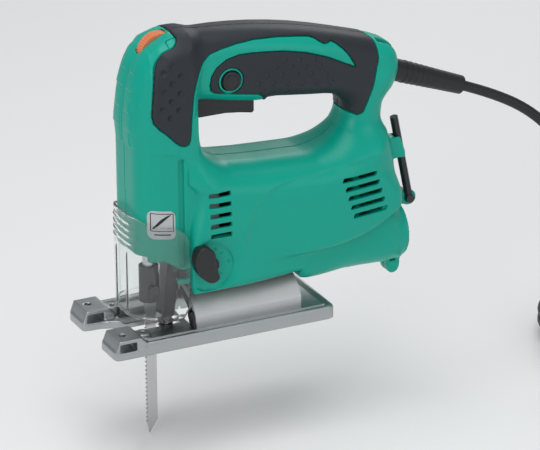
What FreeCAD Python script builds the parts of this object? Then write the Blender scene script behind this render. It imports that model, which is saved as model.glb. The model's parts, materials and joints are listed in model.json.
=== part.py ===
"""D-handle orbital jigsaw, modelled as an assembly of separate pieces (millimetres).

Frame: X = 0, Y = 0 is the blade's line, Z = 0 is the underside of the sole.
-X is the cutting direction (front), +X the cord end, -Y the tool's left side, +Z up.
Every piece is written to parts/NODE.step.
"""
import FreeCAD
import Part
import math
import os

V = FreeCAD.Vector

# ---------------------------------------------------------------- driving dimensions
WALL = 2.5                   # shell thickness of the housing
FIT = 0.2                    # gap between a fixed piece and its seat
RUN = 0.05                   # radial running clearance of a shaft in its bore
SLIDE = 0.3                  # gap beside a piece that slides or swings

BODY_HALF = 32.0             # half width of the motor housing
COLUMN_HALF = 24.5           # half width of the front column
HANDLE_HALF = 18.0           # half width of the handle loop
DUCT_HALF = 20.0             # half width of the dust duct under the motor
BODY_FRONT = 18.2            # where the wide motor housing starts
BODY_ROUND = 11.0            # rounding of the motor housing's side edges
COLUMN_ROUND = 8.0
HANDLE_ROUND = 8.0

COLUMN_FRONT = -15.3         # front face of the column
COLUMN_FOOT = 56.0           # lower rim of the column
HEAD_TOP = 202.0             # highest point of the housing
SKIRT_BOTTOM = 30.0          # lower rim of the motor housing
REAR = 172.0                 # rear face of the motor housing
GRIP_SKIN = 2.0              # thickness of the soft overmould

MOTOR_Z = 76.0               # height of the motor axis
FIELD_R, FIELD_X0, FIELD_X1 = 26.0, 66.0, 106.0
ARMATURE_R = 14.5
AIR_GAP = 0.6
SHAFT_R = 4.0
BEARING_R, BEARING_W = 11.0, 7.0
FRONT_BEARING_X = 33.0
REAR_BEARING_X = 132.0
FAN_X0, FAN_W, FAN_R = 45.0, 10.0, 24.5
COMMUTATOR_R, COMMUTATOR_X0, COMMUTATOR_X1 = 10.0, 113.0, 127.0

TOOTH_MODULE = 0.8
PINION_TEETH, GEAR_TEETH = 8, 48
PRESSURE_ANGLE = math.radians(20.0)
BACKLASH = 0.08              # taken off each flank at the pitch circle
GEAR_X0, GEAR_W = 15.0, 8.0

STROKE = 18.0                # full travel of the blade
ROD_R = 4.0
ROD_TOP, ROD_FOOT = 139.0, 40.0
CRANK_PIN_R, CRANK_ROLLER_R = 2.5, 4.5
YOKE_X0, YOKE_X1 = 3.0, 9.5
YOKE_PLAY = 2.2              # slot clearance above and below the crank roller
GUIDE_HALF = 8.0
GUIDE_PIVOT_Z, GUIDE_PIN_R = 158.0, 2.5
BUSH_R = 6.0

HOLDER_R, HOLDER_Z0, HOLDER_Z1 = 6.5, 21.0, 45.0
BLADE_T, BLADE_W, BLADE_TIP, BLADE_BACK = 1.5, 7.8, -73.0, 4.2
BLADE_ROOT_Z = 39.0
TOOTH_PITCH, TOOTH_DEPTH = 3.0, 1.1

ROLLER_R, ROLLER_W, ROLLER_Z = 5.0, 7.0, 5.0
RETAINER_PIVOT_X, RETAINER_PIVOT_Z, RETAINER_HALF = 15.0, 46.5, 5.6
PIN_R = 2.0

SOLE_HALF = 38.5             # half width of the sole
SOLE_X0, SOLE_X1 = -40.5, 114.5
SOLE_T = 4.0                 # thickness of the sole's floor
RIM_TOP, RIM_W = 9.0, 7.0    # raised border along the sides
PRONG_X1 = -17.0             # rear end of the raised guide-fence boxes
PRONG_TOP = 13.0
PRONG_INNER, BLADE_GAP = 6.5, 13.0
FENCE_X0, FENCE_X1, FENCE_Z0, FENCE_Z1 = -37.0, -25.0, 5.2, 11.0
CLAMP_HOLE_R = 2.1
CRADLE_R, CRADLE_T = 33.0, 3.0
CRADLE_X0, CRADLE_X1 = 19.5, 94.0
CRADLE_HALF = 29.0
SEAT_GAP = 0.3               # between the cradle and its saddle
SEAT_HALF = 15.0
SEAT_X0, SEAT_X1 = 21.0, 55.5
ARCH_R = 41.2                # relief under the motor housing for the tilting sole
BASE_BOLT_X, BASE_BOLT_R = 48.0, 3.0
TILT_HALF = 12.0             # degrees of bevel free with the cover down

COVER_T, COVER_GAP = 1.8, 0.4
COVER_X1, COVER_BOTTOM, COVER_TOP = 17.0, 17.5, 86.0

DIAL_X, DIAL_Z, DIAL_R, DIAL_W = 9.0, 187.5, 14.6, 7.0
LEVER_X, LEVER_Z, LEVER_R = 29.5, 50.5, 10.0
LEVER_SHAFT_R = 4.0
BUTTON_X, BUTTON_Z, BUTTON_R, BUTTON_TRAVEL = 51.0, 167.0, 6.5, 3.0
TRIGGER_X0, TRIGGER_X1, TRIGGER_Z0, TRIGGER_HALF = 36.5, 72.0, 141.5, 8.0
TRIGGER_TRAVEL = 5.0
SWITCH_X0, SWITCH_X1, SWITCH_Z0, SWITCH_Z1, SWITCH_HALF = 42.0, 96.0, 163.0, 180.0, 10.0

PORT_Z, PORT_R, PORT_RING_R, PORT_X0, PORT_X1 = 38.0, 14.5, 18.0, 116.0, 178.5

SCREW_R, SCREW_HEAD_R = 2.0, 3.75
HEAD_BOSS, HANDLE_BOSS, BODY_BOSS = COLUMN_HALF - 3.5, HANDLE_HALF - 1.0, BODY_HALF - 1.0
SCREWS = [(-8.0, 180.0, HEAD_BOSS), (42.0, 188.0, HANDLE_BOSS), (116.0, 170.0, HANDLE_BOSS),
          (156.0, 128.0, HANDLE_BOSS), (152.0, 96.0, BODY_BOSS), (84.0, 107.2, BODY_BOSS),
          (152.0, 58.0, BODY_BOSS)]          # x, z, boss half length

KEY_AF = 5.0                 # across flats of the stowed hex key
KEY_TOP, KEY_FOOT = (171.5, 119.0), (183.0, 60.5)
KEY_Y, KEY_LUG_R = -7.5, 5.2
CLIP_Z0, CLIP_Z1 = 90.0, 106.0

SHELF_X, SHELF_Z = 146.0, 163.0              # inner shelf that the cord is clamped on
GUARD_START, GUARD_TILT, GUARD_LENGTH = (168.0, 151.0), 21.0, 60.0
GUARD_R0, GUARD_R1 = 7.5, 6.2
CORD_R = 3.5
FLOOR_Z = BLADE_TIP - 2.0    # surface that the free cord lies on
COIL_CENTRE = (343.0, 8.0)
COIL_MID_R, COIL_COLUMNS, COIL_ROWS = 36.0, 3, 3

# ---------------------------------------------------------------- derived sizes
PINION_PITCH = TOOTH_MODULE * PINION_TEETH / 2
GEAR_PITCH = TOOTH_MODULE * GEAR_TEETH / 2
GEAR_Z = MOTOR_Z + PINION_PITCH + GEAR_PITCH
GEAR_TIP = math.hypot(GEAR_PITCH * math.cos(PRESSURE_ANGLE),
                      (PINION_PITCH + GEAR_PITCH) * math.sin(PRESSURE_ANGLE))
PINION_TIP = PINION_PITCH + TOOTH_MODULE
GEAR_ROOT = PINION_PITCH + GEAR_PITCH - PINION_TIP - 0.2
PINION_ROOT = PINION_PITCH + GEAR_PITCH - GEAR_TIP - 0.2
CRANK_THROW = STROKE / 2
CASE_HALF = COLUMN_HALF - WALL - FIT
CASE_TOP = 106.0              # top of the gear case behind the gear, under the housing's roof
ROLLER_X = BLADE_BACK + ROLLER_R + 0.2
KEY_R = KEY_AF / math.sqrt(3)

nodes = {}


# ---------------------------------------------------------------- helpers
def block(x0, x1, y0, y1, z0, z1):
    return Part.makeBox(x1 - x0, y1 - y0, z1 - z0, V(x0, y0, z0))


def rod_x(r, x0, x1, y=0.0, z=0.0):
    return Part.makeCylinder(r, x1 - x0, V(x0, y, z), V(1, 0, 0))


def rod_y(r, y0, y1, x=0.0, z=0.0):
    return Part.makeCylinder(r, y1 - y0, V(x, y0, z), V(0, 1, 0))


def rod_z(r, z0, z1, x=0.0, y=0.0):
    return Part.makeCylinder(r, z1 - z0, V(x, y, z0), V(0, 0, 1))


def ring_x(r_out, r_in, x0, x1, y=0.0, z=0.0):
    return rod_x(r_out, x0, x1, y, z).cut(rod_x(r_in, x0 - 1, x1 + 1, y, z))


def ring_y(r_out, r_in, y0, y1, x=0.0, z=0.0):
    return rod_y(r_out, y0, y1, x, z).cut(rod_y(r_in, y0 - 1, y1 + 1, x, z))


def fuse(*shapes):
    result = shapes[0]
    for shape in shapes[1:]:
        result = result.fuse(shape)
    return result.removeSplitter()


def cut(shape, *tools):
    for tool in tools:
        shape = shape.cut(tool)
    return shape


def prism_y(outline, y0, y1):
    """Side outline of (x, z) points extruded from y0 to y1."""
    wire = Part.makePolygon([V(x, y0, z) for x, z in outline + outline[:1]])
    return Part.Face(wire).extrude(V(0, y1 - y0, 0))


def prism_x(outline, x0, x1):
    wire = Part.makePolygon([V(x0, y, z) for y, z in outline + outline[:1]])
    return Part.Face(wire).extrude(V(x1 - x0, 0, 0))


def prism_z(outline, z0, z1):
    wire = Part.makePolygon([V(x, y, z0) for x, y in outline + outline[:1]])
    return Part.Face(wire).extrude(V(0, 0, z1 - z0))


def inset(outline, distance):
    """The outline moved inwards, each corner mitred, with as many corners as before."""
    area = sum(a[0] * b[1] - b[0] * a[1] for a, b in zip(outline, outline[1:] + outline[:1]))
    side = 1.0 if area > 0 else -1.0
    count = len(outline)
    result = []
    for i in range(count):
        before, here, after = outline[i - 1], outline[i], outline[(i + 1) % count]
        a = math.atan2(here[1] - before[1], here[0] - before[0])
        b = math.atan2(after[1] - here[1], after[0] - here[0])
        turn = (b - a + math.pi) % (2 * math.pi) - math.pi
        reach = distance / math.cos(turn / 2)
        across = a + turn / 2 + side * math.pi / 2
        result.append((here[0] + reach * math.cos(across), here[1] + reach * math.sin(across)))
    return result


def pillow(outline, half, rounding):
    """The outline extruded to both sides of Y = 0, its side edges rounded in two facets."""
    levels = [(0.0, half - rounding), (0.29 * rounding, half - 0.29 * rounding), (rounding, half)]
    rings = [[V(x, s * y, z) for x, z in inset(outline, d)]
             for s, order in ((-1, levels[::-1]), (1, levels)) for d, y in order]
    faces = [Part.Face(Part.makePolygon(r + r[:1])) for r in (rings[0], rings[-1])]
    for lower, upper in zip(rings, rings[1:]):
        for i in range(len(lower)):
            j = (i + 1) % len(lower)
            loop = [lower[i], lower[j], upper[j], upper[i], lower[i]]
            faces.append(Part.Face(Part.makePolygon(loop)))
    solid = Part.makeSolid(Part.makeShell(faces))
    if solid.Volume < 0:
        solid.reverse()
    return solid


def add(name, *shapes):
    nodes[name] = shapes[0] if len(shapes) == 1 else Part.makeCompound(list(shapes))


# ---------------------------------------------------------------- housing outlines (x, z)
BACK_LINE = [(173.5, 152.0), (170.8, 145.0), (167.0, 141.0), (163.2, 132.0), (162.0, 121.0),
             (162.8, 112.0), (166.0, 96.0), (169.5, 85.0), (REAR, 72.0), (170.0, 60.5)]
COLUMN_OUTLINE = [(COLUMN_FRONT, COLUMN_FOOT), (COLUMN_FRONT - 1.2, 148.0), (-13.2, 172.0),
                  (-9.0, 188.0), (-2.0, 196.0), (5.0, 200.2), (13.0, HEAD_TOP), (33.0, 200.6),
                  (33.0, 120.0), (33.0, 47.0), (20.0, 47.0), (2.0, 54.0)]
HANDLE_OUTLINE = [(20.0, 201.4), (55.0, 198.0), (83.0, 194.0), (111.0, 188.5), (140.0, 180.5),
                  (162.0, 174.0), (171.5, 168.0), (173.5, 160.0)] + BACK_LINE[:3] + \
                 [(150.0, 139.0), (131.0, 141.0), (126.0, 143.6), (104.0, 146.2), (80.0, 149.5),
                  (55.0, 152.0), (33.0, 155.0), (20.0, 155.0)]
POST_OUTLINE = [(131.0, 158.0), (131.5, 134.0), (129.0, 122.0), (121.0, 112.0), (118.0, 96.0),
                (160.0, 96.0)] + BACK_LINE[5:2:-1] + [(167.0, 142.0), (166.0, 158.0)]
BODY_OUTLINE = [(BODY_FRONT, 118.0), (52.0, 112.0), (111.0, 110.0), (135.0, 112.0)] + BACK_LINE[5:] + \
               [(130.0, 42.0), (100.0, SKIRT_BOTTOM), (BODY_FRONT, SKIRT_BOTTOM)]
DUCT_OUTLINE = [(96.5, 58.0), (168.0, 60.0), (174.0, 56.0), (176.0, 51.0), (176.0, 19.0),
                (163.0, 18.5), (140.0, 20.5), (117.0, 22.5), (96.5, SKIRT_BOTTOM)]


def key_x(z):
    """X of the stowed hex key's long arm at height z."""
    return KEY_FOOT[0] + (KEY_TOP[0] - KEY_FOOT[0]) * (z - KEY_FOOT[1]) / (KEY_TOP[1] - KEY_FOOT[1])


def housing_outer():
    ring = rod_x(PORT_RING_R, 150.0, PORT_X1, z=PORT_Z)
    lug = block(168.0, PORT_X1 - 1.0, -6.0, 6.0, 10.0, 24.0)
    key_lug = fuse(rod_y(KEY_LUG_R, KEY_Y + 3.4, -KEY_Y, *KEY_FOOT),
                   block(166.0, KEY_FOOT[0], KEY_Y + 3.4, -KEY_Y, KEY_FOOT[1] - 4.0, KEY_FOOT[1] + 4.0))
    clip = block(158.0, key_x(CLIP_Z0) + 1.5, KEY_Y - 5.0, KEY_Y + 5.0, CLIP_Z0, CLIP_Z1)
    return fuse(pillow(COLUMN_OUTLINE, COLUMN_HALF, COLUMN_ROUND),
                pillow(HANDLE_OUTLINE, HANDLE_HALF, HANDLE_ROUND),
                pillow(POST_OUTLINE, HANDLE_HALF, 6.0),
                pillow(BODY_OUTLINE, BODY_HALF, BODY_ROUND),
                pillow(DUCT_OUTLINE, DUCT_HALF, 6.0), ring, lug, key_lug, clip)


def housing_cavity():
    column = pillow(inset(COLUMN_OUTLINE, WALL), COLUMN_HALF - WALL, COLUMN_ROUND - WALL)
    case_room = fuse(block(-8.0, 29.0, -CASE_HALF - FIT, CASE_HALF + FIT, 50.0, 168.0),
                     block(28.0, 42.0, -CASE_HALF - FIT, CASE_HALF + FIT, 50.0, CASE_TOP + 2.0))
    handle = pillow(inset(HANDLE_OUTLINE, WALL), HANDLE_HALF - WALL, HANDLE_ROUND - WALL)
    post = pillow(inset(POST_OUTLINE, WALL), HANDLE_HALF - WALL, 3.5)
    body = pillow(inset(BODY_OUTLINE, WALL), BODY_HALF - WALL, BODY_ROUND - WALL)
    arch_roof = rod_x(ARCH_R + WALL, BODY_FRONT - 40, 200.0)
    duct_roof = rod_x(PORT_R + WALL, PORT_X0 - WALL, 200.0, z=PORT_Z)
    body = cut(body, arch_roof, duct_roof)
    return fuse(column, case_room, handle, post, body)


def housing_ribs():
    """Cross walls that carry the field core and the rear bearing."""
    room = pillow(inset(BODY_OUTLINE, WALL - 0.5), BODY_HALF - WALL + 0.5, BODY_ROUND - WALL)
    slabs = [(FIELD_X0 + 3, FIELD_X0 + 7, FIELD_R + 0.1), (FIELD_X1 - 7, FIELD_X1 - 3, FIELD_R + 0.1),
             (REAR_BEARING_X + 1, REAR_BEARING_X + 6, BEARING_R + 2.5)]
    ribs = []
    for x0, x1, bore in slabs:
        slab = block(x0, x1, -BODY_HALF, BODY_HALF, SKIRT_BOTTOM, 111.0)
        ribs.append(cut(slab.common(room), rod_x(bore, x0 - 1, x1 + 1, z=MOTOR_Z)))
    switch_rib = block(SWITCH_X1 + SLIDE, SWITCH_X1 + 3, -HANDLE_HALF + 2, HANDLE_HALF - 2, 149.0, 190.0)
    shelf = block(SHELF_X - 8, SHELF_X + 8, -HANDLE_HALF + 2, HANDLE_HALF - 2, SHELF_Z - 5, SHELF_Z)
    return ribs + [switch_rib, shelf]


def vent_slots(y0, y1):
    """Air slots through one side: a short row behind the column, a long slanted row behind."""
    slots = []
    for i in range(5):
        front_z = 97.0 - 6.8 * i
        slots.append(block(29.6, 44.2, y0, y1, front_z - 1.4, front_z + 1.4))
        rear_x, rear_z = 123.5 + 2.0 * i, 90.5 - 6.4 * i
        slots.append(block(rear_x, rear_x + 26.0, y0, y1, rear_z - 1.4, rear_z + 1.4))
    return slots


def guard_at(distance):
    tilt = math.radians(GUARD_TILT)
    return V(GUARD_START[0] + distance * math.cos(tilt), 0, GUARD_START[1] - distance * math.sin(tilt))


GUARD_DIRECTION = V(math.cos(math.radians(GUARD_TILT)), 0, -math.sin(math.radians(GUARD_TILT)))


def screw_bosses():
    return [rod_y(SCREW_R + 2.6, -half, half, x, z) for x, z, half in SCREWS]


def screw_room():
    """Clearance for the screws and their sunk heads, which enter from the right side."""
    rooms = []
    for x, z, _ in SCREWS:
        rooms.append(rod_y(SCREW_R + 0.02, -10.0, 8.0, x, z))
        rooms.append(rod_y(SCREW_HEAD_R + 0.25, 8.0, BODY_HALF + 2, x, z))
    return rooms


def housing():
    shell = housing_outer().cut(housing_cavity())
    inner_parts = housing_ribs() + [b.common(housing_outer()) for b in screw_bosses()]
    shell = fuse(shell, *inner_parts)
    big = BODY_HALF + 10
    mouth = block(COLUMN_FRONT - 5, BODY_FRONT, -COLUMN_HALF + 4, COLUMN_HALF - 4, 40.0, 60.0)
    tools = [rod_x(ARCH_R, -60.0, 96.2), mouth,
             block(GEAR_X0 - 3 - FIT, SEAT_X1 + FIT, -SEAT_HALF - FIT, SEAT_HALF + FIT, 20.0, 50.5),
             rod_x(PORT_R, PORT_X0, PORT_X1 + 5, z=PORT_Z),
             block(TRIGGER_X0 - SLIDE, TRIGGER_X1 + SLIDE, -TRIGGER_HALF - SLIDE, TRIGGER_HALF + SLIDE,
                   135.0, SWITCH_Z0 - 1),
             rod_y(BUTTON_R + SLIDE, -big, 0.0, BUTTON_X, BUTTON_Z),
             rod_y(DIAL_R + 0.5, -DIAL_W / 2 - 0.4, DIAL_W / 2 + 0.4, DIAL_X, DIAL_Z),
             rod_y(LEVER_SHAFT_R + 0.4, -big, -SEAT_HALF, LEVER_X, LEVER_Z),
             rod_y(LEVER_R + 6.0, -big, -BODY_HALF + 1.5, LEVER_X, LEVER_Z),
             Part.makeCylinder(GUARD_R0 + 0.1, 30.0, guard_at(-3.0), GUARD_DIRECTION),
             rod_y(KEY_R + RUN + 0.05, -20.0, 20.0, *KEY_FOOT),
             prism_y([(key_x(150.0) - KEY_R - 0.1, 150.0), (key_x(80.0) - KEY_R - 0.1, 80.0), (240.0, 80.0),
                      (240.0, 150.0)], KEY_Y - KEY_R - 0.1, KEY_Y + KEY_R + 0.1)]
    tools += vent_slots(-big, -BODY_HALF + WALL + 3) + vent_slots(BODY_HALF - WALL - 3, big)
    tools += screw_room() + [rod_z(1.82, SHELF_Z - 6, SHELF_Z + 1, SHELF_X, y) for y in (-6.0, 6.0)]
    return cut(shell, *tools)


def make_housing():
    shell = housing()
    big = 400.0
    left = shell.common(block(-100, big, -100.0, 0.0, -50, big))
    right = shell.common(block(-100, big, 0.0, 100.0, -50, big))
    for name, half in (("housing_left", left), ("housing_right", right)):
        solids = sorted(half.Solids, key=lambda s: -s.Volume)
        print(name, [round(s.Volume) for s in solids])
        add(name, solids[0])
    shafts = []
    for x, z, _ in SCREWS:
        shank = rod_y(SCREW_R, -9.0, 8.5, x, z)
        head = rod_y(SCREW_HEAD_R, 8.0, 11.0, x, z)
        shafts.append(fuse(shank, head))
    add("housing_screws", *shafts)


def make_grips():
    """Soft overmould skins: front cheek and handle palm pad on each side."""
    cheek = [(-6.0, 196.0), (32.0, 198.0), (32.0, 165.0), (20.0, 132.0), (8.0, 131.0), (-7.0, 150.0)]
    palm = [(48.0, 196.0), (80.0, 192.0), (110.0, 186.5), (140.0, 178.5), (158.0, 173.0), (168.0, 166.0),
            (166.0, 150.0), (145.0, 150.0), (100.0, 153.0), (76.0, 156.0), (40.0, 159.0), (38.0, 185.0)]
    outer = housing_outer()
    column_skin = pillow(inset(COLUMN_OUTLINE, -GRIP_SKIN), COLUMN_HALF + GRIP_SKIN, COLUMN_ROUND)
    handle_skin = pillow(inset(HANDLE_OUTLINE, -GRIP_SKIN), HANDLE_HALF + GRIP_SKIN, HANDLE_ROUND)
    hole = rod_y(BUTTON_R + 1.5, -60.0, 0.0, BUTTON_X, BUTTON_Z)
    for y0, y1, name in ((-60.0, -6.0, "left"), (6.0, 60.0, "right")):
        front = column_skin.common(prism_y(cheek, y0, y1)).cut(outer)
        back = handle_skin.common(prism_y(palm, y0, y1)).cut(outer)
        pads = [max(p.Solids, key=lambda s: s.Volume) for p in (front, back.cut(hole))]
        add("grip_" + name, *pads)


# ---------------------------------------------------------------- drive
def involute(angle):
    return math.tan(angle) - angle


def spur(teeth, pitch, root, tip, first_angle):
    """Closed (y, z) outline of a spur gear with involute flanks above the base circle."""
    base = pitch * math.cos(PRESSURE_ANGLE)
    half_pitch = math.pi / (2 * teeth) - BACKLASH / pitch + involute(PRESSURE_ANGLE)
    start = max(root, base)
    radii = [start + (tip - start) * k / 4 for k in range(5)]
    flank = [(r, half_pitch - involute(math.acos(min(1.0, base / r)))) for r in radii]
    if root < start:
        flank.insert(0, (root, flank[0][1]))
    points = []
    for i in range(teeth):
        centre = first_angle + 2 * math.pi * i / teeth
        for r, a in flank:
            points.append((r * math.cos(centre - a), r * math.sin(centre - a)))
        for r, a in reversed(flank):
            points.append((r * math.cos(centre + a), r * math.sin(centre + a)))
    return points


def toothed(teeth, pitch, root, tip, first_angle, x0, x1, z):
    outline = [(y, z + w) for y, w in spur(teeth, pitch, root, tip, first_angle)]
    return prism_x(outline, x0, x1)


def make_motor():
    pinion = toothed(PINION_TEETH, PINION_PITCH, PINION_ROOT, PINION_TIP,
                     math.pi / 2 + math.pi / PINION_TEETH, GEAR_X0, FRONT_BEARING_X - 1, MOTOR_Z)
    rear_end = REAR_BEARING_X + BEARING_W + 1
    shaft = rod_x(SHAFT_R, FRONT_BEARING_X - 1, rear_end, z=MOTOR_Z)
    add("armature_shaft", fuse(pinion, shaft))
    slots = []
    for i in range(12):
        angle = 2 * math.pi * i / 12
        slot = block(FIELD_X0 - 1, FIELD_X1 + 1, -0.9, 0.9, ARMATURE_R - 4, ARMATURE_R + 1)
        slot.rotate(V(0, 0, 0), V(1, 0, 0), math.degrees(angle))
        slot.translate(V(0, 0, MOTOR_Z))
        slots.append(slot)
    core = ring_x(ARMATURE_R, SHAFT_R, FIELD_X0, FIELD_X1, z=MOTOR_Z)
    add("armature_core", cut(core, *slots))
    add("armature_windings", ring_x(ARMATURE_R - 3, SHAFT_R, FIELD_X0 - 7, FIELD_X0, z=MOTOR_Z),
        ring_x(ARMATURE_R - 3, SHAFT_R, FIELD_X1, COMMUTATOR_X0, z=MOTOR_Z))
    bars = ring_x(COMMUTATOR_R, SHAFT_R, COMMUTATOR_X0, COMMUTATOR_X1, z=MOTOR_Z)
    for i in range(12):
        slot = block(COMMUTATOR_X0 + 2, COMMUTATOR_X1 + 1, -0.4, 0.4, COMMUTATOR_R - 1.2, COMMUTATOR_R + 1)
        slot.rotate(V(0, 0, 0), V(1, 0, 0), 30.0 * i)
        slot.translate(V(0, 0, MOTOR_Z))
        bars = bars.cut(slot)
    add("commutator", bars)
    hub = ring_x(SHAFT_R + 4, SHAFT_R, FAN_X0, FAN_X0 + FAN_W, z=MOTOR_Z)
    disc = ring_x(FAN_R, SHAFT_R, FAN_X0 + FAN_W - 2, FAN_X0 + FAN_W, z=MOTOR_Z)
    blades = []
    for i in range(15):
        blade = block(FAN_X0 + 1, FAN_X0 + FAN_W, -0.7, 0.7, SHAFT_R + 3, FAN_R - 0.5)
        blade.rotate(V(0, 0, 0), V(1, 0, 0), 24.0 * i)
        blade.translate(V(0, 0, MOTOR_Z))
        blades.append(blade)
    add("fan", fuse(hub, disc, *blades))
    add("front_bearing", ring_x(BEARING_R, SHAFT_R + 0.02, FRONT_BEARING_X, FRONT_BEARING_X + BEARING_W,
                                z=MOTOR_Z))
    add("rear_bearing", ring_x(BEARING_R, SHAFT_R + 0.02, REAR_BEARING_X, REAR_BEARING_X + BEARING_W,
                               z=MOTOR_Z))
    add("rear_bearing_boot", ring_x(BEARING_R + 2.4, BEARING_R, REAR_BEARING_X, REAR_BEARING_X + BEARING_W,
                                    z=MOTOR_Z))


def make_field():
    pole_gap = block(FIELD_X0 - 1, FIELD_X1 + 1, -9.0, 9.0, MOTOR_Z - 22, MOTOR_Z + 22)
    core = ring_x(FIELD_R, ARMATURE_R + AIR_GAP, FIELD_X0, FIELD_X1, z=MOTOR_Z)
    add("field_core", core.cut(pole_gap))
    coils = []
    for x0, x1 in ((FIELD_X0 - 6.0, FIELD_X0), (FIELD_X1, FIELD_X1 + 6.0)):
        coil = ring_x(FIELD_R - 3, ARMATURE_R + 3, x0, x1, z=MOTOR_Z)
        coils.append(coil.cut(block(x0 - 1, x1 + 1, -3.0, 3.0, MOTOR_Z - 30, MOTOR_Z + 30)))
    add("field_coils", *[s for c in coils for s in c.Solids])
    throat = ring_x(BODY_HALF - WALL - 0.5, FAN_R - 7.0, FAN_X0 + FAN_W + 1.0, FAN_X0 + FAN_W + 3.0, z=MOTOR_Z)
    add("fan_baffle", throat.common(block(40, 80, -BODY_HALF + WALL, BODY_HALF - WALL, ARCH_R + 4, 107)))


def make_brushes():
    mid = (COMMUTATOR_X0 + COMMUTATOR_X1) / 2 + 0.5
    outer = BODY_HALF - WALL - 0.3
    holders, brushes, springs = [], [], []
    for side in (-1, 1):
        sleeve = block(mid - 6, mid + 6, 11.5, outer, MOTOR_Z - 5, MOTOR_Z + 5)
        sleeve = sleeve.cut(block(mid - 4, mid + 4, 10.0, outer - 1.5, MOTOR_Z - 3, MOTOR_Z + 3))
        brush = block(mid - 3.95, mid + 3.95, COMMUTATOR_R + 0.05, 19.0, MOTOR_Z - 2.95, MOTOR_Z + 2.95)
        spring = rod_y(2.4, 19.0, outer - 1.5, mid, MOTOR_Z)
        for piece, group in ((sleeve, holders), (brush, brushes), (spring, springs)):
            if side < 0:
                piece = piece.mirror(V(0, 0, 0), V(0, 1, 0))
            group.append(piece)
    add("brush_holders", *holders)
    add("carbon_brushes", *brushes)
    add("brush_springs", *springs)


def make_gear_train():
    gear_x1 = GEAR_X0 + GEAR_W
    wheel = toothed(GEAR_TEETH, GEAR_PITCH, GEAR_ROOT, GEAR_TIP, -math.pi / 2, GEAR_X0, gear_x1, GEAR_Z)
    wheel = cut(wheel, rod_x(SHAFT_R + RUN, GEAR_X0 - 1, gear_x1 + 1, z=GEAR_Z),
                rod_x(CRANK_PIN_R, GEAR_X0 - 1, gear_x1 + 1, CRANK_THROW, GEAR_Z))
    add("crank_gear", wheel)
    add("crank_pin", rod_x(CRANK_PIN_R, ROD_R + 0.6, gear_x1, CRANK_THROW, GEAR_Z))
    add("crank_roller", ring_x(CRANK_ROLLER_R, CRANK_PIN_R + 0.02, ROD_R + 0.8, YOKE_X1 + 0.5,
                               CRANK_THROW, GEAR_Z))
    add("gear_pin", rod_x(SHAFT_R, GEAR_X0 + 0.5, FRONT_BEARING_X + 5, z=GEAR_Z))


def make_gear_case():
    back_x0, back_x1 = FRONT_BEARING_X - 1, FRONT_BEARING_X + BEARING_W
    case = block(GEAR_X0 - 3, back_x1, -CASE_HALF, CASE_HALF, 52.0, GEAR_Z + 23.0)
    room = fuse(rod_x(GEAR_TIP + 0.6, GEAR_X0 - 4, back_x0 - 6, z=GEAR_Z),
                rod_x(PINION_TIP + 0.7, GEAR_X0 - 4, back_x0 + 2, z=MOTOR_Z))
    arms = [block(-7.0, GEAR_X0 - 3, s * CASE_HALF - (2.6 if s > 0 else 0), s * CASE_HALF + (0 if s > 0 else 2.6),
                  60.0, GUIDE_PIVOT_Z + 6) for s in (-1, 1)]
    bridge = block(GEAR_X0 - 5, GEAR_X0 - 0.5, -CASE_HALF, CASE_HALF, GEAR_Z + 23.0, GUIDE_PIVOT_Z + 6)
    lugs = [block(-6.0, GEAR_X0 - 3, s * 14.5 - 6.0, s * 14.5 + 6.0, GUIDE_PIVOT_Z - 5, GUIDE_PIVOT_Z + 6)
            for s in (-1, 1)]
    seat = block(SEAT_X0, SEAT_X1, -SEAT_HALF, SEAT_HALF, 25.0, 50.3)
    foot = block(GEAR_X0 - 3, SEAT_X0 + 12, -SEAT_HALF, SEAT_HALF, 46.0, 53.0)
    ear = [block(GEAR_X0 - 3, SEAT_X0 + 2, s * 9.0 - 3.0, s * 9.0 + 3.0, RETAINER_PIVOT_Z - 5, 52.0)
           for s in (-1, 1)]
    case = fuse(case, bridge, *(arms + lugs + [seat, foot] + ear))
    case = cut(case, room, rod_x(CRADLE_R + SEAT_GAP, 0.0, 120.0),
               block(0.0, SEAT_X0 - SLIDE, -RETAINER_HALF - SLIDE, RETAINER_HALF + SLIDE, 30.0, 51.8),
               rod_x(BEARING_R, FRONT_BEARING_X, 60.0, z=MOTOR_Z),
               rod_x(SHAFT_R, FRONT_BEARING_X - 10, FRONT_BEARING_X + 5, z=GEAR_Z),
               rod_y(GUIDE_PIN_R, -40, 40, 0.0, GUIDE_PIVOT_Z),
               rod_y(PIN_R, -40, 40, RETAINER_PIVOT_X, RETAINER_PIVOT_Z),
               rod_z(BASE_BOLT_R - 0.4, 20.0, 46.0, BASE_BOLT_X),
               rod_y(LEVER_SHAFT_R + RUN, -40.0, -6.0, LEVER_X, LEVER_Z),
               block(BODY_FRONT + 13, 60.0, -40, 40, 50.3, 56.0),
               block(28.0, 60.0, -40.0, 40.0, CASE_TOP, 130.0))
    add("gear_case", case)
    add("guide_pivot_pin", rod_y(GUIDE_PIN_R, -20.5, 20.5, 0.0, GUIDE_PIVOT_Z))
    add("retainer_pivot_pin", rod_y(PIN_R, -12.0, 12.0, RETAINER_PIVOT_X, RETAINER_PIVOT_Z))


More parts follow.
